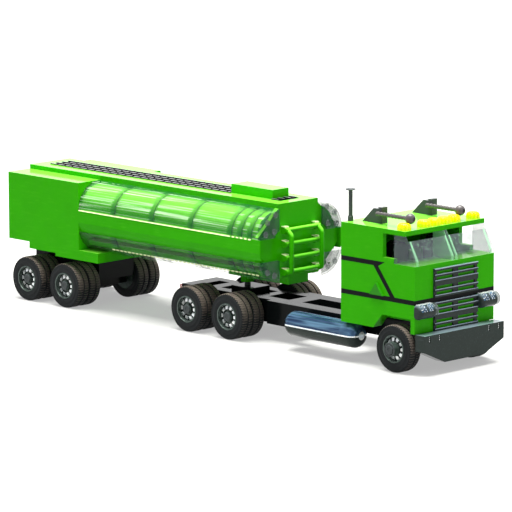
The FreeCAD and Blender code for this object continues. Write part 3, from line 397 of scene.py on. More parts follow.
@dataclass(frozen=True)
class CoverPlastic:
    """Clear plastic of the tank's covers, denser at the ribs, the front flange and the top edge.

    The places and the half width are in millimetres. The pale lines are painted highlight streaks,
    fading out downwards as if lit from above.
    """

    name: str
    colour: Colour
    rib: Colour
    # Colour of the painted highlight streaks.
    pale: Colour
    density: float = 0.14
    ribs: Sequence[float] = (42.5, 32.9, 23.3, -15.9, -55.1, -94.3)
    rib_half: float = 2.7
    flange: float = 50.6
    top_edge: float = 91.3
    fade: Flat = (55.0, 75.0)

    def draw(self, bench: Bench) -> dict[str, Any]:
        """Adds the finish's nodes.

        Args:
            bench: the material's node tree.

        Returns:
            The value of each of the shader's sockets.
        """
        flow, tone = bench.drift(self.colour)
        x, z = bench.along("X"), bench.along("Z")
        # Painted highlight: pale streaks along X that fade towards the bottom, as if lit from
        # above.
        lines = bench.noise(0.0011, 0.0, 90.0).spread(0.58, 0.68) * z.spread(*self.fade, 0.15, 1.0)
        ribs = bench.near(x, self.ribs, self.rib_half)
        flange = x > self.flange
        dashes = (z > self.top_edge) * (bench.noise(0.0013, 0.0, 1.5) > 0.5)
        dense = (ribs + flange + dashes).spread(0.0, 1.0)
        plain = bench.blend(lines, tone, self.pale)
        clear = self.density + 0.06 * flow + 0.16 * lines
        return {
            "Base Color": bench.blend(dense, plain, self.rib),
            "Roughness": 0.08 + 0.06 * flow,
            "Alpha": clear * (1 - dense) + 0.3 * dense + 0.08 * flange,
            "IOR": CLEAR_IOR,
            "Specular IOR Level": 0.3,
        }


@dataclass(frozen=True)
class PlatedPlastic:
    """Plastic with a plated skin, its tone drifting in soft streaks between two colours, with a
    painted highlight on its edges.
    """

    name: str
    dark: Colour
    bright: Colour
    metal: float = 0.6
    roughness: float = 0.16
    stretch: float = 1.0

    def draw(self, bench: Bench) -> dict[str, Any]:
        """Adds the finish's nodes.

        Args:
            bench: the material's node tree.

        Returns:
            The value of each of the shader's sockets.
        """
        streak = bench.noise(0.003, 2.0, self.stretch)
        fine = bench.noise(0.0008, 3.0)
        tone = bench.blend(streak.spread(0.42, 0.6), self.dark, self.bright)
        return {
            # Painted highlight: edges are lightened beyond the bright colour.
            "Base Color": bench.blend(0.5 * bench.edges(), tone, shade(self.bright, 1.6)),
            "Metallic": self.metal,
            "Specular IOR Level": 0.2,
            "Roughness": self.roughness + 0.12 * fine,
            "Normal": bench.bump(fine, 0.00002, 0.4),
        }


@dataclass(frozen=True)
class TyreRubber:
    """Soft toy tyre rubber: near-black walls, with brown dust on the tread that shows only where it
    faces up, as painted top light.
    """

    name: str
    colour: Colour
    dust_and_sheen: Colour

    def draw(self, bench: Bench) -> dict[str, Any]:
        """Adds the finish's nodes.

        Args:
            bench: the material's node tree.

        Returns:
            The value of each of the shader's sockets.
        """
        dust = bench.noise(0.003, 4.0)
        grain = bench.noise(0.0004, 2.0)
        sideways = bench.facing("Y")
        tread = 1 - (sideways * sideways).spread(0.15, 0.6)
        # Dust and painted top light: the brown is kept to tread that faces upward.
        dust_and_sheen_share = tread * bench.facing("Z").spread(-0.2, 0.8) * (0.7 + 0.3 * dust)
        return {
            "Base Color": bench.blend(dust_and_sheen_share, self.colour, self.dust_and_sheen),
            "Roughness": 0.45 + 0.25 * dust,
            "Specular IOR Level": 0.12,
            "Normal": bench.bump(grain, 0.00005, 0.6),
        }


class Finish(Enum):
    """The finishes of the toy."""

    # Its rim colour is a painted lime highlight on the top edges.
    GREEN = MouldedPlastic("green_plastic", linear(48, 161, 2), 0.03, rim=linear(150, 255, 80))
    # Painted highlight colour of the thin lips on belts, covers and clips.
    LIME_HIGHLIGHT = MouldedPlastic("lime_highlight_plastic", linear(240, 255, 190), top_edge_highlight=0.1)
    # Painted highlight colour of the lips on the grille bars.
    PALE_HIGHLIGHT = MouldedPlastic("pale_highlight_plastic", linear(128, 142, 156), top_edge_highlight=0.1)
    BLACK = MouldedPlastic("black_plastic", linear(12, 15, 16), 0.05, glance=0.35)
    # Its rim colour is a painted highlight on the bars' top edges.
    GRATING = MouldedPlastic(
        "grating_plastic", linear(12, 15, 16), 0.2, 0.1, glance=1.0, rim=linear(150, 154, 156)
    )
    PIT = MouldedPlastic("grating_pit_plastic", linear(10, 12, 13), 0.02, glance=0.0, top_edge_highlight=0.0)
    DARK_GREY = MouldedPlastic("dark_grey_plastic", linear(66, 71, 73))
    # Its rim colour is a painted highlight on the top edges of bumper and grille.
    IRON = MouldedPlastic("iron_plastic", linear(40, 49, 47), top_edge_highlight=0.9, rim=linear(130, 150, 160))
    HORN = MouldedPlastic("horn_plastic", linear(78, 74, 76), 0.3)
    YELLOW = MouldedPlastic("yellow_plastic", linear(238, 232, 4), 0.2, 0.12, 0.02, glance=0.2)
    # Painted shade: the body's green, darkened for the slanted faces of the cab's side wedges.
    SHADED_GREEN = MouldedPlastic("painted_shade_green_plastic", linear(36, 128, 12))
    # Its third colour is the painted highlight streaks.
    COVER = CoverPlastic(
        "clear_cover_plastic", linear(70, 110, 70), linear(34, 72, 60), linear(225, 250, 220)
    )
    # The clear finishes' second colours are painted highlight streaks, and the screen's bands are
    # painted highlight bands.
    SCREEN = ClearPlastic(
        "clear_screen_plastic", linear(108, 118, 124), linear(170, 240, 190), 0.25,
        highlight_bands=(-35.4, -1.8, 1.8, 35.4),
    )
    DISC = ClearPlastic("clear_disc_plastic", linear(96, 106, 106), linear(150, 170, 165), 0.55)
    RED = ClearPlastic("clear_red_plastic", linear(200, 40, 40), linear(255, 120, 110), 0.6)
    DARK_CHROME = PlatedPlastic("dark_chrome", linear(46, 54, 50), linear(66, 78, 74), 0.3)
    # Near-white plating that is painted highlight: it stands in for glints on hub lugs, tank and
    # lamp crests and bumper beads.
    PAINTED_GLINT = PlatedPlastic(
        "painted_glint_chrome", linear(205, 218, 228), linear(252, 254, 255), 0.45, 0.1
    )
    # Blue plating that is painted reflection on the upper faces of the fuel tanks and headlamps.
    PAINTED_BLUE_REFLECTION = PlatedPlastic(
        "painted_blue_reflection_chrome", linear(30, 52, 84), linear(84, 118, 146), 0.5, 0.14, 12.0
    )
    # Its second colour is brown dust with painted top light on the tread.
    TYRE = TyreRubber("tyre_rubber", linear(24, 27, 29), linear(128, 116, 108))

    def material(self) -> bpy.types.Material:
        """The finish's material, made on its first use."""
        name = f"{self.value.name}_finish"
        return bpy.data.materials.get(name) or surface(name, self.value.draw)


def dress(thing: bpy.types.Object, *finishes: Finish) -> None:
    """Gives an object its finishes, in slot order.

    Args:
        thing: the object.
        finishes: one finish for each slot.
    """
    if thing.data.materials:
        thing.data.materials.clear()
    for finish in finishes:
        thing.data.materials.append(finish.material())


def soften(thing: bpy.types.Object, edge: float) -> None:
    """Breaks an object's sharp edges.

    Args:
        thing: the object.
        edge: width of the broken edges in metres.
    """
    broken = thing.modifiers.new("broken_edges", "BEVEL")
    broken.width = edge
    broken.segments = 2
    broken.limit_method = "ANGLE"
    broken.angle_limit = BROKEN_ABOVE
    broken.harden_normals = True


class Forge:
    """A mesh in the making, drawn in millimetres of the frame."""

    def __init__(self, name: str) -> None:
        """Starts an empty mesh for the piece of this name."""
        self.name = name
        self.mesh = bmesh.new()

    def skin(
        self,
        rows: Sequence[Sequence[Point]],
        paint: Callable[[Vector], int] | None = None,
        ends: bool = True,
    ) -> None:
        """Joins closed rows of points with faces.

        Args:
            rows: rings of the same number of points.
            paint: gives the finish slot of a face from its middle.
            ends: closes the first and the last ring.
        """
        made = [[self.mesh.verts.new(point) for point in row] for row in rows]
        faces = []
        for low, high in zip(made, made[1:]):
            for n in range(len(low)):
                after = (n + 1) % len(low)
                faces.append(self.mesh.faces.new((low[n], low[after], high[after], high[n])))
        if ends:
            faces += [self.mesh.faces.new(row) for row in (made[0], made[-1])]
        for face in faces:
            face.material_index = paint(face.calc_center_median()) if paint else 0

    def turned(
        self,
        middle: Point,
        axis: str,
        profile: Sequence[Flat],
        steps: int = 40,
        swell: Callable[[float, float], float] | None = None,
        paint: Callable[[Vector], int] | None = None,
        least_x: float | None = None,
    ) -> None:
        """Adds a turned form.

        Args:
            middle: a point on its axis.
            axis: the letter of its axis.
            profile: place along the axis and radius, from one end to the other.
            steps: points round the axis.
            swell: adds to the radius at a place along the axis and an angle.
            paint: gives the finish slot of a face from its middle.
            least_x: flat face that the form lies against, on its rear.
        """
        rows = []
        for along, radius in profile:
            ring = []
            for n in range(steps):
                angle = FULL_TURN * n / steps
                reach = radius + (swell(along, angle) if swell else 0.0)
                across, up = reach * math.cos(angle), reach * math.sin(angle)
                offset = [across, up]
                offset.insert("XYZ".index(axis), along)
                point = [a + b for a, b in zip(middle, offset)]
                if least_x is not None:
                    point[0] = max(point[0], least_x)
                ring.append(tuple(point))
            rows.append(ring)
        self.skin(rows, paint)

    def pipe(self, path: Sequence[Point], radius: float, steps: int = 16) -> None:
        """Adds a round tube along a path that stays in one upright plane.

        Args:
            path: points of its middle line.
            radius: its radius.
            steps: points round it.
        """
        points = [Vector(point) for point in path]
        rows = []
        for n, point in enumerate(points):
            ahead = (points[min(n + 1, len(points) - 1)] - points[max(n - 1, 0)]).normalized()
            across = Vector((0, 1, 0))
            up = ahead.cross(across)
            angles = [FULL_TURN * k / steps for k in range(steps)]
            spokes = [across * math.cos(a) + up * math.sin(a) for a in angles]
            rows.append([tuple(point + radius * spoke) for spoke in spokes])
        self.skin(rows)

    def block(self, low: Point, high: Point, slot: int = 0) -> None:
        """Adds a block.

        Args:
            low: its lowest corner.
            high: its highest corner.
            slot: its finish slot.
        """
        ring = [(low[0], low[1]), (high[0], low[1]), (high[0], high[1]), (low[0], high[1])]
        self.skin([[(x, y, z) for x, y in ring] for z in (low[2], high[2])], lambda middle: slot)

    def done(
        self,
        body: str,
        finishes: Sequence[Finish],
        nodes: Iterable[str] = (),
        edge: float = 0.0,
    ) -> bpy.types.Object:
        """Makes the piece, dresses it and lets it ride.

        Args:
            body: the body that it rides on.
            finishes: its finishes in slot order.
            nodes: the solids that it stands for.
            edge: width of broken edges in metres, or 0 for none.

        Returns:
            The piece.
        """
        bmesh.ops.remove_doubles(self.mesh, verts=self.mesh.verts, dist=WELD)
        bmesh.ops.recalc_face_normals(self.mesh, faces=self.mesh.faces)
        bmesh.ops.scale(self.mesh, vec=(MM, MM, MM), verts=self.mesh.verts)
        data = bpy.data.meshes.new(self.name)
        self.mesh.to_mesh(data)
        self.mesh.free()
        data.polygons.foreach_set("use_smooth", [True] * len(data.polygons))
        data.set_sharp_from_angle(angle=SMOOTH_BELOW)
        thing = bpy.data.objects.new(self.name, data)
        bpy.context.scene.collection.objects.link(thing)
        dress(thing, *finishes)
        if edge:
            soften(thing, edge)
        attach(thing, body)
        for node in nodes:
            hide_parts(node)
        LOG.info("made %s with %d faces", self.name, len(data.polygons))
        return thing


@dataclass
class Wheel:
    """One wheel: a lugged tyre, or a pair of them, on a dished hub with ten windows.

    Depths are counted from the wheel's outer face inwards.
    """

    axle: str
    word: str
    x: float
    twin: bool = True
    width: float = 10.6
    gap: float = 0.6
    radius: float = 16.0
    bead: float = 9.4
    lugs: int = 54
    groove: float = 0.22
    windows: int = 10
    web: float = 3.0
    lug: float = 2.1
    window: float = 5.0
    bore: float = 2.48

    @property
    def face(self) -> float:
        """Outer face of the wheel from the middle of the toy."""
        return 40.0 if self.twin else 40.7

    @property
    def back(self) -> float:
        """Depth of the wheel's inner face."""
        return self.width * (1 + self.twin) + self.gap * self.twin

    def point(self, radius: float, angle: float, depth: float) -> Point:
        """A point of the wheel.

        Args:
            radius: its distance from the axle.
            angle: its angle round the axle.
            depth: its depth.

        Returns:
            The point.
        """
        side = 1 if self.word == "left" else -1
        across = radius * math.cos(angle)
        return self.x + across, side * (self.face - depth), AXLE_Z + radius * math.sin(angle)

    def wall(self) -> list[tuple[float, float, float]]:
        """Radius, depth and groove of each ring from the outer bead to the tread's middle."""
        half = self.width / 2
        side = [(self.bead, 0.35), (9.9, 0.05), (12.2, 0.0), (12.5, 0.18), (14.4, 0.18)]
        side += [(14.7, 0.1), (15.3, 0.45)]
        tread = [(15.8, 1.0), (self.radius, 2.2), (self.radius, half - 0.7)]
        middle = [(15.35, half - 0.4), (15.35, half)]
        groups = ((side, 0.0), (tread, self.groove), (middle, 0.0))
        return [(*ring, groove) for group, groove in groups for ring in group]

    def tyre(self) -> None:
        """Makes the tyre, or both of a twin, with the inner row of lugs half a step on."""
        wall = self.wall()
        profile = [(r, d, drop, 0.0) for r, d, drop in wall]
        profile += [(r, self.width - d, drop, 0.5) for r, d, drop in reversed(wall[:-1])]
        pitch = FULL_TURN / self.lugs
        corners = ((0.0, 0), (0.56, 0), (0.63, 1), (0.93, 1))
        forge = Forge(f"{self.axle}_{self.word}_lugged_tyre")
        for start in (0.0, self.width + self.gap) if self.twin else (0.0,):
            rows = []
            for radius, depth, drop, shift in profile:
                rows.append([
                    self.point(radius - drop * low, (n + share + shift) * pitch, start + depth)
                    for n in range(self.lugs) for share, low in corners
                ])
            forge.skin([*rows, rows[0]], ends=False)
        body, node = f"{self.axle}_wheel_{self.word}", f"{self.axle}_{self.word}_tyre"
        forge.done(body, (Finish.TYRE,), (node,))

    def rings(self) -> list[tuple[float, float, float, float]]:
        """Radius of each ring of the hub, and its depth at a lug, between, and at a window."""

        def even(radius: float, depth: float) -> tuple[float, float, float, float]:
            """A ring that is as deep all round."""
            return radius, depth, depth, depth

        web, lug, window = self.web, self.lug, self.window
        rim = [even(self.bead, self.back), even(self.bead, 0.1), even(9.2, 0.0), even(8.6, 0.0)]
        dish = [even(8.4, 0.3), even(8.1, web), even(7.9, web), (7.7, web, web, window)]
        lugs = [(7.6, lug + 0.3, web, window), (5.2, lug - 0.3, web, window)]
        lugs += [(5.0, web, web, window), even(4.8, web)]
        if self.twin:
            boss = [even(3.7, web), even(3.6, 1.3), even(3.4, 1.2)]
        else:
            boss = [even(4.9, web), even(4.9, -3.4), even(4.7, -3.6), even(3.7, -3.6)]
            boss += [even(3.6, -3.5), even(3.5, -2.9)]
        bore = [even(self.bore, boss[-1][1]), even(self.bore, self.back)]
        return [*rim, *dish, *lugs, *boss, *bore, rim[0]]

    def hub(self) -> None:
        """Makes the hub: rim, web with windows and raised lugs, and boss; the lugs' finish is
        painted glint.
        """
        levels = ((-10, 0), (10, 0), (11, 1), (12.5, 1), (13, 2), (23, 2), (23.5, 1), (25, 1))
        step = 360 // self.windows
        rows = [
            [
                self.point(ring[0], math.radians(step * n + offset), ring[1 + level])
                for n in range(self.windows) for offset, level in levels
            ]
            for ring in self.rings()
        ]

        def paint(middle: Vector) -> int:
            """Picks the finish of a face.

            Args:
                middle: the middle of the face.

            Returns:
                1 on the raised lugs, which carry painted glints, 2 on a boss that stands out, else
                0.
            """
            radius = math.hypot(middle.x - self.x, middle.z - AXLE_Z)
            depth = self.face - abs(middle.y)
            raised = 5.1 < radius < 7.7 and depth < self.web - 0.1
            boss = 3.0 < radius < 5.0 and depth < -3.0
            return 1 if raised else 2 if boss else 0

        forge = Forge(f"{self.axle}_{self.word}_dished_hub")
        forge.skin(rows, paint, ends=False)
        body, node = f"{self.axle}_wheel_{self.word}", f"{self.axle}_{self.word}_hub"
        # The lugs' near-white finish is painted glint.
        finishes = (Finish.DARK_CHROME, Finish.PAINTED_GLINT, Finish.DARK_GREY)
        forge.done(body, finishes, (node,))

    def build(self) -> None:
        """Makes the tyre and the hub."""
        self.tyre()
        self.hub()


@dataclass
class Axles:
    """The axles of one body: square beams, round shanks and round caps.

    Each place is an axle's X and its shanks' inner and outer ends.
    """

    node: str
    body: str
    places: Sequence[Point]
    shank: float = 2.4
    beam: float = 2.6
    cap: float = 3.2
    hollow: float = 1.4

    def build(self) -> None:
        """Makes the axles as one piece."""
        forge = Forge(f"{self.node}_round")
        for x, inner, reach in self.places:
            end = reach + 0.3
            low = (x - self.beam, -inner + 0.3, AXLE_Z - self.beam)
            forge.block(low, (x + self.beam, inner - 0.3, AXLE_Z + self.beam))
            half = [(inner - 0.5, self.shank), (end, self.shank), (end, self.cap)]
            half += [(end + 0.6, self.cap), (end + 0.8, self.cap - 0.25), (end + 0.8, self.hollow)]
            half += [(end + 0.5, self.hollow - 0.1), (end + 0.5, 0.2)]
            for side in (-1, 1):
                profile = [(side * along, radius) for along, radius in half]
                forge.turned((x, 0.0, AXLE_Z), "Y", profile, 32)
        forge.done(self.body, (Finish.DARK_GREY,), (self.node,))


@dataclass
class FuelTanks:
    """Two long tanks with round ends: dark below, with a ribbed panel let into the top; the blue of
    the upper half is painted reflection, and the crests and the line round the middle are painted
    highlight.
    """

    back: float = 72.6
    length: float = 67.2
    side: float = 30.6
    height: float = 18.0
    radius: float = 8.8
    dome: float = 6.0
    plain_front: float = 13.0
    plain_back: float = 2.0
    sunk: float = 0.45
    rib_height: float = 0.4
    ribs: int = 20

    def build(self) -> None:
        """Makes both tanks as one piece."""
        forge = Forge("fuel_tanks_ribbed")
        steps = 6 * self.ribs
        ends = quarter(self.radius, self.dome)
        panel_end = self.length - self.plain_front
        profile = ends + [(panel_end - 0.5, self.radius), (panel_end, self.radius)]
        profile += [(self.length - along, radius) for along, radius in reversed(ends)]

        def swell(along: float, angle: float) -> float:
            """Depth of the panel and its ribs, 0 on the plain parts and the rim."""
            let_in = math.sin(angle) >= 0.1 and self.plain_back <= along <= panel_end - 0.2
            return -self.sunk + self.rib_height * wave(self.ribs * angle) if let_in else 0.0

        def paint(middle: Vector) -> int:
            """Picks the finish of a face.

            Args:
                middle: the middle of the face.

            Returns:
                0 below, 1 on the panel as painted blue reflection, 2 on the rim line and the crests
                as painted highlight, 3 on the dome as painted blue reflection.
            """
            up = middle.z - self.height
            if abs(up) < 0.4:
                return 2
            if up < 0:
                return 0
            if middle.x > self.back + panel_end:
                return 3
            angle = math.atan2(up, abs(middle.y) - self.side)
            return 2 if math.cos(self.ribs * angle) > 0.9 else 1

        for side in (-1, 1):
            middle = (self.back, side * self.side, self.height)
            forge.turned(middle, "X", profile, steps, swell, paint)
        # Blue is painted reflection and near-white is painted highlight.
        finishes = (Finish.IRON, Finish.PAINTED_BLUE_REFLECTION, Finish.PAINTED_GLINT, Finish.PAINTED_BLUE_REFLECTION)
        forge.done("tractor", finishes, ("fuel_tanks",))


@dataclass
class Headlamps:
    """Round-ended lamps across the nose, with slanted flutes on top and clear discs at one end; the
    flutes' blue is painted reflection, and their crests and the top line are painted highlight.
    """

    x: float = 196.8
    height: float = 42.4
    radius: float = 5.2
    length: float = 14.1
    dome: float = 2.6
    flute_places: Sequence[float] = (3.8, 10.0)
    flute_reach: float = 2.4
    flute_depth: float = 0.45
    disc_width: float = 4.0
    disc_radius: float = 4.6
    disc_bore: float = 2.6
    starts: Sequence[float] = (-39.0, 20.9)

    def slant(self, along: float, angle: float) -> float:
        """The slanted flutes' ripple, -1 to 1, at a place along the lamp and an angle."""
        return math.sin(along * 3.4 + angle * 5.0)

    def off(self, along: float) -> float:
        """Distance from the middle of the nearest group of flutes."""
        return min(abs(along - place) for place in self.flute_places)

    def build(self) -> None:
        """Makes the lamps and their discs."""
        lamps = Forge("headlamps_fluted")
        discs = Forge("lamp_discs_stepped")
        count = int((self.length - self.dome) / 0.5)
        profile = quarter(self.radius, self.dome)
        profile += [(self.dome + k * 0.5, self.radius) for k in range(1, count)]
        profile += [(self.length, self.radius)]

        def swell(along: float, angle: float) -> float:
            """Slanted flutes on the upper half, in two groups."""
            fade = max(0.0, 1 - self.off(along) / self.flute_reach) * (math.sin(angle) > 0.25)
            return -self.flute_depth * (0.5 + 0.5 * self.slant(along, angle)) * fade

        for start in self.starts:
            def paint(middle: Vector, start: float = start) -> int:
                """Picks the finish of a face.

                Args:
                    middle: the middle of the face.
                    start: the lamp's right end.

                Returns:
                    1 on the flutes, as painted blue reflection, 2 on their crests and the line
                    along the top, as painted highlight, else 0.
                """
                along, up = middle.y - start, middle.z - self.height
                if up > self.radius - 0.35:
                    return 2
                if self.off(along) > self.flute_reach + 0.1 or up < 0.8:
                    return 0
                ripple = self.slant(along, math.atan2(up, middle.x - self.x))
                return 2 if ripple > 0.88 else 1 if ripple > -0.2 else 0

            lamps.turned((self.x, start, self.height), "Y", profile, 48, swell, paint, NOSE_X)
            width, radius = self.disc_width, self.disc_radius
            rim = [(0.0, radius), (width - 0.5, radius), (width, radius - 0.5)]
            rim += [(width, self.disc_bore), (width - 0.4, self.disc_bore - 0.3)]
            rim += [(width - 0.4, 0.4)]
            middle = (self.x, start + self.length, self.height)
            discs.turned(middle, "Y", rim, 40, least_x=NOSE_X)
        # Blue is painted reflection and near-white is painted highlight.
        finishes = (Finish.IRON, Finish.PAINTED_BLUE_REFLECTION, Finish.PAINTED_GLINT)
        lamps.done("tractor", finishes, ("headlamps",))
        discs.done("tractor", (Finish.DISC,), ("lamp_discs",))


@dataclass
class Horns:
    """Two horns: tubes with a winding ridge and round bells."""

    back: float = 151.1
    length: float = 30.3
    height: float = 101.6
    sides: Sequence[float] = (-28.0, 20.0)
    tube: float = 1.6
    tube_steps: int = 56
    ridge: float = 0.22
    bell: float = 3.6

    def build(self) -> None:
        """Makes both horns as one piece."""
        forge = Forge("horns_wound")
        start = self.length - self.bell
        tube = [(start * n / self.tube_steps, self.tube) for n in range(self.tube_steps + 1)]
        angles = [math.radians(20 + 5 * n) for n in range(28)]
        bell = [
            (start + self.bell - self.bell * math.cos(a), max(self.tube, self.bell * math.sin(a)))
            for a in angles
        ]
        end = start + 2 * self.bell
        bell += [(end - 0.35, 1.4), (end - 1.2, 1.2), (end - 1.2, 0.2)]

        def swell(along: float, angle: float) -> float:
            """The winding ridge of the tube."""
            ripple = 0.5 + 0.5 * math.sin(along * 2.2 + angle)
            return -self.ridge * ripple if along < start else 0.0

        for side in self.sides:
            forge.turned((self.back, side, self.height), "X", tube + bell, 28, swell)
        forge.done("tractor", (Finish.HORN,), ("horns",))


@dataclass
class RoofLamps:
    """Six yellow lamps: fluted drums under smooth domes."""

    x: float = 180.9
    sides: Sequence[float] = (-33.2, -14.4, -4.8, 4.8, 14.4, 33.2)
    radius: float = 4.7
    height: float = 4.5
    dome: float = 2.6
    top: float = 1.6
    flutes: int = 10
    flute_depth: float = 0.9
    fade_from: float = 2.4

    def build(self) -> None:
        """Makes the lamps as one piece."""
        forge = Forge("roof_lamps_fluted")
        inner = self.radius - self.dome
        angles = [math.pi / 2 * n / 8 for n in range(8)]
        profile = [(0.0, self.radius), (1.2, self.radius)]
        profile += [
            (self.height - self.dome + self.dome * math.sin(a), inner + self.dome * math.cos(a))
            for a in angles
        ]
        profile += [(self.height, self.top), (self.height, 0.3)]

        def swell(along: float, angle: float) -> float:
            """The flutes, which fade out on top of the dome."""
            faded = max(0.0, along - self.fade_from) / (self.height - self.fade_from)
            return -self.flute_depth * max(0.0, 1 - faded) * wave(self.flutes * angle) ** 2

        for side in self.sides:
            forge.turned((self.x, side, ROOF_TOP), "Z", profile, 80, swell)
        forge.done("tractor", (Finish.YELLOW,), ("roof_lamps",))


@dataclass
class ExhaustStack:
    """Thin stack with a thick foot and a flat cap."""

    x: float = 130.4
    side: float = -31.6
    height: float = 20.9
    foot_height: float = 3.4
    foot: float = 1.9
    pipe: float = 1.4
    cap: float = 3.4

    def build(self) -> None:
        """Makes the stack."""
        forge = Forge("exhaust_stack_turned")
        foot, neck, top = self.foot_height, self.height, self.height + 0.8
        profile = [(0.0, self.foot), (foot - 0.2, self.foot), (foot, self.foot - 0.2)]
        profile += [(foot, self.pipe), (neck - 0.6, self.pipe), (neck - 0.2, self.pipe + 0.3)]
        profile += [(neck, self.cap - 0.2), (neck + 0.15, self.cap), (top - 0.15, self.cap)]
        profile += [(top, self.cap - 0.2), (top, 2.2), (top - 0.2, 2.0), (top - 0.2, 0.2)]
        forge.turned((self.x, self.side, ROOF_TOP), "Z", profile, 36)
        forge.done("tractor", (Finish.DARK_GREY,), ("exhaust_stack",))


@dataclass
class FrontRack:
    """Round bars across the bulkhead with a hand tube up each side, bent back at both ends."""

    x: float = 54.2
    low: float = 48.3
    bars: int = 4
    pitch: float = 9.6
    half: float = 16.5
    radius: float = 1.6
    tube_out: float = 3.9
    tube_side: float = 14.6
    bend: float = 3.5

    def build(self) -> None:
        """Makes the rack as one piece."""
        forge = Forge("front_rack_round")
        ends = [(self.half, self.radius - 0.3), (self.half - 0.3, self.radius)]
        profile = [(-along, radius) for along, radius in ends] + ends[::-1]
        for n in range(self.bars):
            forge.turned((self.x, 0.0, self.low + n * self.pitch), "Y", profile, 24)
        low, top = self.low, self.low + (self.bars - 1) * self.pitch
        front, bend = self.x + self.tube_out, top - self.bend
        path = [(self.x, low), (front - 1.6, low), (front - 0.5, low + 0.5), (front, low + 1.6)]
        path += [(front, bend - 0.8), (front - 0.4, bend + 0.4), (self.x, top)]
        for side in (-self.tube_side, self.tube_side):
            forge.pipe([(x, side, z) for x, z in path], self.radius)
        forge.done("trailer", (Finish.GREEN,), ("front_rack",))


@dataclass
class DeckGrating:
    """Grating along the deck: short bars in rows between cross bars, over a dark floor."""

    runs: Sequence[Flat] = ((-193.8, -7.6), (32.8, 41.7))
    half: float = 9.2
    top: float = 95.2
    height: float = 0.8
    bar: float = 1.4
    bars: int = 4
    cell: float = 8.0
    gap: float = 1.6
    cross: float = 1.8
    cross_height: float = 0.35
    cross_back: float = 1.7
    floor: float = 0.12
    edge: float = 0.00008

    def build(self) -> None:
        """Makes the grating as one piece."""
        forge = Forge("deck_grating_barred")
        step = (2 * self.half - self.bar) / (self.bars - 1)
        for start, end in self.runs:
            low, high = (start, -self.half, self.top - 0.1), (end, self.half, self.top + self.floor)
            forge.block(low, high, 1)
            for k in range(self.bars):
                y = -self.half + k * step
                place = start
                while place < end - 1.0:
                    stop = min(place + self.cell - self.gap, end)
                    forge.block((place, y, self.top), (stop, y + self.bar, self.top + self.height))
                    place += self.cell
            place = start + self.cell - self.cross_back
            while place < end:
                high = (min(place + self.cross, end), self.half, self.top + self.cross_height)
                forge.block((place, -self.half, self.top), high, 1)
                place += self.cell
        finishes = (Finish.GRATING, Finish.PIT)
        forge.done("trailer", finishes, ("deck_grating",), self.edge)


@dataclass
class CoverMarks:
    """Round moulding marks on the front flanges of the clear covers."""

    x: float = 52.7
    radius: float = 2.3
    thick: float = 0.35
    places: Sequence[Flat] = (
        (32.4, 56.4), (24.8, 61.0), (26.0, 49.5), (34.1, 48.5), (32.6, 22.2), (26.0, 19.2),
    )

    def build(self) -> None:
        """Makes the marks as one piece."""
        forge = Forge("cover_marks")
        profile = [(0.0, self.radius), (self.thick, self.radius - 0.1)]
        profile += [(self.thick, self.radius - 0.6), (self.thick / 2, self.radius - 0.8)]
        profile += [(self.thick / 2, 0.3)]
        for side in (-1, 1):
            for across, up in self.places:
                forge.turned((self.x, side * across, FRAME_TOP + up), "X", profile, 28)
        forge.done("trailer", (Finish.DISC,))


@dataclass
class HighlightLips:
    """Thin pale lips that are painted highlight: along the belts' top edges, in dashes on the lower
    covers, and on the clips.

    The sections give Y and Z, or X and Z for a clip.
    """

    back: float = -129.6
    whole: float = 24.2
    front: float = 46.0
    cover_back: float = -100.0
    cover_front: float = 51.0
    dash: float = 2.4
    period: float = 4.0
    belt: Sequence[Flat] = ((39.7, 72.8), (40.05, 72.8), (40.3, 72.1), (39.7, 72.1))
    cover: Sequence[Flat] = ((34.2, 47.4), (34.9, 47.9), (35.2, 47.5), (34.5, 46.9))
    clip_root: float = 50.0
    clip_end: float = 53.75
    clip_side: float = 14.6
    clip_half: float = 1.7
    clip_top: float = 50.9
    clip_pitch: float = 9.6
    clips: int = 4

    def dashes(self, start: float, end: float) -> list[Flat]:
        """The two ends of each dash in a row between two places."""
        starts = [start + n * self.period for n in range(int((end - start) / self.period))]
        return [(place, place + self.dash) for place in starts]

    def build(self) -> None:
        """Makes the lips as one piece."""
        forge = Forge("painted_highlight_lips")
        gap = self.period - self.dash
        belt_runs = [(self.back, self.whole), *self.dashes(self.whole + gap, self.front)]
        cover_runs = self.dashes(self.cover_back, self.cover_front)
        for section, runs in ((self.belt, belt_runs), (self.cover, cover_runs)):
            for side in (-1, 1):
                for start, end in runs:
                    forge.skin([[(x, side * y, z) for y, z in section] for x in (start, end)])
        for side in (-self.clip_side, self.clip_side):
            for n in range(self.clips):
                top, end = self.clip_top + self.clip_pitch * n, self.clip_end
                section = [(self.clip_root, top), (end - 0.35, top + 0.05), (end, top - 0.3)]
                section += [(end - 0.05, top - 1.0), (self.clip_root, top - 0.4)]
                places = (side - self.clip_half, side + self.clip_half)
                forge.skin([[(x, y, z) for x, z in section] for y in places])
        # The lips are painted highlight.
        forge.done("trailer", (Finish.LIME_HIGHLIGHT,))


@dataclass
class BumperGlintBeads:
    """Small beads in the bumper's slots, one above the other, put there to carry painted
    highlights.
    """

    front: float = 204.5
    sides: Sequence[float] = (-33.6, -24.0, 24.0, 33.6)
    top: float = 26.2
    sunk: float = 1.1
    pitch: float = 1.3
    beads: int = 3

    def build(self) -> None:
        """Makes the beads as one piece."""
        forge = Forge("bumper_glint_beads")
        profile = [(-0.1, 0.55), (0.6, 0.55), (0.9, 0.35), (0.95, 0.1)]
        for side in self.sides:
            for n in range(self.beads):
                middle = (self.front - self.sunk, side, self.top - self.pitch * n)
                forge.turned(middle, "X", profile, 16)
        # The beads' near-white plating is painted highlight.
        forge.done("tractor", (Finish.PAINTED_GLINT,))


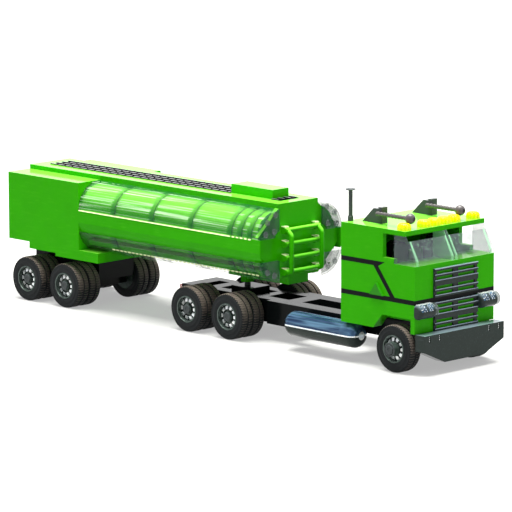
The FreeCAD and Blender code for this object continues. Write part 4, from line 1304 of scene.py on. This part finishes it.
@dataclass
class GrilleHighlightLips:
    """Thin bright lips along the top front edges of the grille bars, which are painted highlight.
    """

    front: float = 197.4
    half: float = 20.8
    block: float = 19.2
    bar: float = 1.7
    middle: float = 4.0
    starts: Sequence[float] = (FRAME_TOP, 50.0)
    depth: float = 0.5

    def build(self) -> None:
        """Makes the lips as one piece."""
        forge = Forge("grille_highlight_lips")
        pitch = (self.block - 4 * self.bar - self.middle) / 4
        tops = [self.bar, 2 * self.bar + pitch]
        tops += [n * (self.bar + pitch) + self.middle for n in (2, 3)] + [self.block]
        for start in self.starts:
            for top in tops:
                z = start + top
                root, front = self.front - 0.5, self.front
                section = [(root, z), (front - 0.05, z + 0.04), (front + 0.12, z - 0.1)]
                section += [(front + 0.1, z - self.depth), (root, z - self.depth)]
                forge.skin([[(x, y, up) for x, up in section] for y in (-self.half, self.half)])
        forge.done("tractor", (Finish.PALE_HIGHLIGHT,))


@dataclass
class PlainSolids:
    """The solids whose shape is right as packed: each gets its finish, and those that are not clear
    get broken edges.
    """

    edge: float = 0.00015
    finishes: dict[Finish, tuple[str, ...]] = field(default_factory=lambda: {
        Finish.GREEN: (
            "cab_side_right", "cab_side_left", "cab_front", "cab_back", "cab_roof", "cab_floor",
            "trailer_box", "trailer_deck", "hatch", "tank", "side_belts", "belly", "bulkhead",
            "neck",
        ),
        Finish.BLACK: ("tractor_frame", "fuel_brackets", "cab_stripes", "seats", "bogie"),
        Finish.DARK_GREY: ("king_pin", "horn_brackets"),
        Finish.IRON: ("bumper", "grille"),
        # The side wedges' darker green is painted shade.
        Finish.SHADED_GREEN: ("side_wedges",),
        Finish.SCREEN: ("windscreens",),
        Finish.COVER: ("upper_covers", "lower_covers"),
        Finish.RED: ("tail_lamps",),
    })

    def build(self) -> None:
        """Dresses the solids."""
        for finish, nodes in self.finishes.items():
            for node in nodes:
                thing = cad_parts[node]
                dress(thing, finish)
                if not isinstance(finish.value, (ClearPlastic, CoverPlastic)):
                    soften(thing, self.edge)
                LOG.info("dressed %s as %s", node, finish.name.lower())


@dataclass(frozen=True)
class Lamp:
    """A square soft lamp: its place, what it looks at, its width in metres, watts and colour."""

    name: str
    place: Point
    aim: Point
    size: float
    power: float
    colour: Colour = WHITE

    def hang(self) -> None:
        """Hangs the lamp."""
        data = bpy.data.lights.new(self.name, "AREA")
        data.shape = "SQUARE"
        data.size = self.size
        data.energy = self.power
        data.color = self.colour
        lamp = bpy.data.objects.new(self.name, data)
        lamp.location = self.place
        down = Vector(self.aim) - Vector(self.place)
        lamp.rotation_euler = down.to_track_quat("-Z", "Y").to_euler()
        bpy.context.scene.collection.objects.link(lamp)


@dataclass
class Studio:
    """Pale floor, white surroundings, soft lamps and the photograph's camera.

    Lengths are metres and angles are degrees. The camera stands off from the cab's lower rear
    corner, moved right and up by the two aim lengths.
    """

    turn: float = 44.474
    lift: float = 10.064
    roll: float = -0.161
    distance: float = 2.7378
    aim_right: float = -0.05653
    aim_up: float = 0.04332
    cab_corner: Point = (0.1282, -0.0384, 0.0276)
    focal_pixels: float = 4114.6
    picture_pixels: float = 512.0
    sky: float = 0.35
    floor_reach: float = 6.0
    floor_glow: float = 0.4
    glow_rise: Flat = (0.5, 1.8)
    paper_dark: Colour = (0.36, 0.36, 0.36)
    paper_light: Colour = (0.4, 0.4, 0.4)
    lamps: Sequence[Lamp] = (
        Lamp("top_lamp", (0.0, 0.0, 1.6), (0.0, 0.0, 0.0), 1.3, 95.0, (1.0, 1.0, 0.94)),
        Lamp("side_lamp", (0.3, -2.6, 0.9), (0.0, 0.0, 0.05), 1.4, 5.0),
        Lamp("front_lamp", (2.6, -0.2, 0.9), (0.0, 0.0, 0.05), 1.4, 5.0),
    )

    def build(self) -> None:
        """Makes the camera, lamps, world and floor."""
        bpy.context.scene.view_settings.view_transform = "Standard"
        self.camera()
        for lamp in self.lamps:
            lamp.hang()
        self.world()
        self.floor()

    def camera(self) -> None:
        """Places the camera at the photograph's viewpoint."""
        turn, lift, roll = (math.radians(v) for v in (self.turn, self.lift, self.roll))
        level = math.cos(lift)
        back = Vector((level * math.cos(turn), -level * math.sin(turn), math.sin(lift)))
        side = (-back).cross(Vector((0, 0, 1))).normalized()
        up = side.cross(-back)
        right = side * math.cos(roll) + up * math.sin(roll)
        top = up * math.cos(roll) - side * math.sin(roll)
        data = bpy.data.cameras.new("camera")
        data.sensor_width = 36.0
        data.lens = self.focal_pixels / self.picture_pixels * data.sensor_width
        data.clip_start, data.clip_end = 0.1, 50.0
        camera = bpy.data.objects.new("camera", data)
        bpy.context.scene.collection.objects.link(camera)
        place = Vector(self.cab_corner) + back * self.distance
        place += right * self.aim_right + top * self.aim_up
        turned = Matrix((right, top, back)).transposed().to_4x4()
        camera.matrix_world = Matrix.Translation(place) @ turned
        bpy.context.scene.camera = camera

    @staticmethod
    def seen(bench: Bench) -> Wire:
        """1 for what the camera, gloss and clear parts see, else 0."""
        kinds = ("Is Camera Ray", "Is Glossy Ray", "Is Transmission Ray")
        camera, gloss, clear = (bench.node("ShaderNodeLightPath", out=kind) for kind in kinds)
        return (camera + gloss + clear).spread(0.0, 1.0)

    def world(self) -> None:
        """A plain pale world that camera, gloss and clear parts see as white."""
        world = bpy.data.worlds.new("world")
        bpy.context.scene.world = world
        world.use_nodes = True
        bench = Bench(world.node_tree)
        strength = self.seen(bench).spread(0.0, 1.0, self.sky, 1.0)
        back = bench.node("ShaderNodeBackground", values={"Color": WHITE, "Strength": strength})
        bench.node("ShaderNodeOutputWorld", values={"Surface": back})

    def floor(self) -> None:
        """A wide pale floor that shows as white away from the shadow."""
        mesh = bpy.data.meshes.new("floor")
        reach = self.floor_reach
        corners = [(-reach, -reach, 0), (reach, -reach, 0), (reach, reach, 0), (-reach, reach, 0)]
        mesh.from_pydata(corners, [], [(0, 1, 2, 3)])
        floor = bpy.data.objects.new("floor", mesh)
        bpy.context.scene.collection.objects.link(floor)

        def draw(bench: Bench) -> dict[str, Any]:
            """Adds the paper's nodes.

            Args:
                bench: the material's node tree.

            Returns:
                The value of each of the shader's sockets.
            """
            grain = bench.noise(0.05, 2.0).spread(0.2, 0.8)
            length = {"operation": "LENGTH"}
            away = bench.node("ShaderNodeVectorMath", length, {0: bench.place()}, "Value")
            rise = away.spread(*self.glow_rise)
            glow = bench.blend(rise, shade(WHITE, self.floor_glow), WHITE)
            return {
                "Base Color": bench.blend(grain, self.paper_dark, self.paper_light),
                "Roughness": 0.9,
                "Specular IOR Level": 0.1,
                "Emission Color": bench.blend(self.seen(bench), DARK, glow),
                "Emission Strength": 1.0,
            }

        floor.data.materials.append(surface("floor_paper", draw))


def main() -> None:
    """Builds the stage, the new pieces and the finishes."""
    logging.basicConfig(level=logging.INFO, format="%(message)s")
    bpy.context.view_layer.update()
    Studio().build()
    PlainSolids().build()
    for word in ("right", "left"):
        Wheel("front", word, STEER_X, twin=False).build()
        for axle, x in TWIN_X.items():
            Wheel(axle, word, x).build()
    twins = [(x, *TWIN_REACH) for x in TWIN_X.values()]
    Axles("tractor_axles", "tractor", [(STEER_X, *STEER_REACH), *twins[:2]]).build()
    Axles("trailer_axles", "trailer", twins[2:]).build()
    for assembly in (
        FuelTanks, Headlamps, Horns, RoofLamps, ExhaustStack, FrontRack, DeckGrating, CoverMarks,
        HighlightLips, BumperGlintBeads, GrilleHighlightLips,
    ):
        assembly().build()


if __name__ == "__main__":
    main()
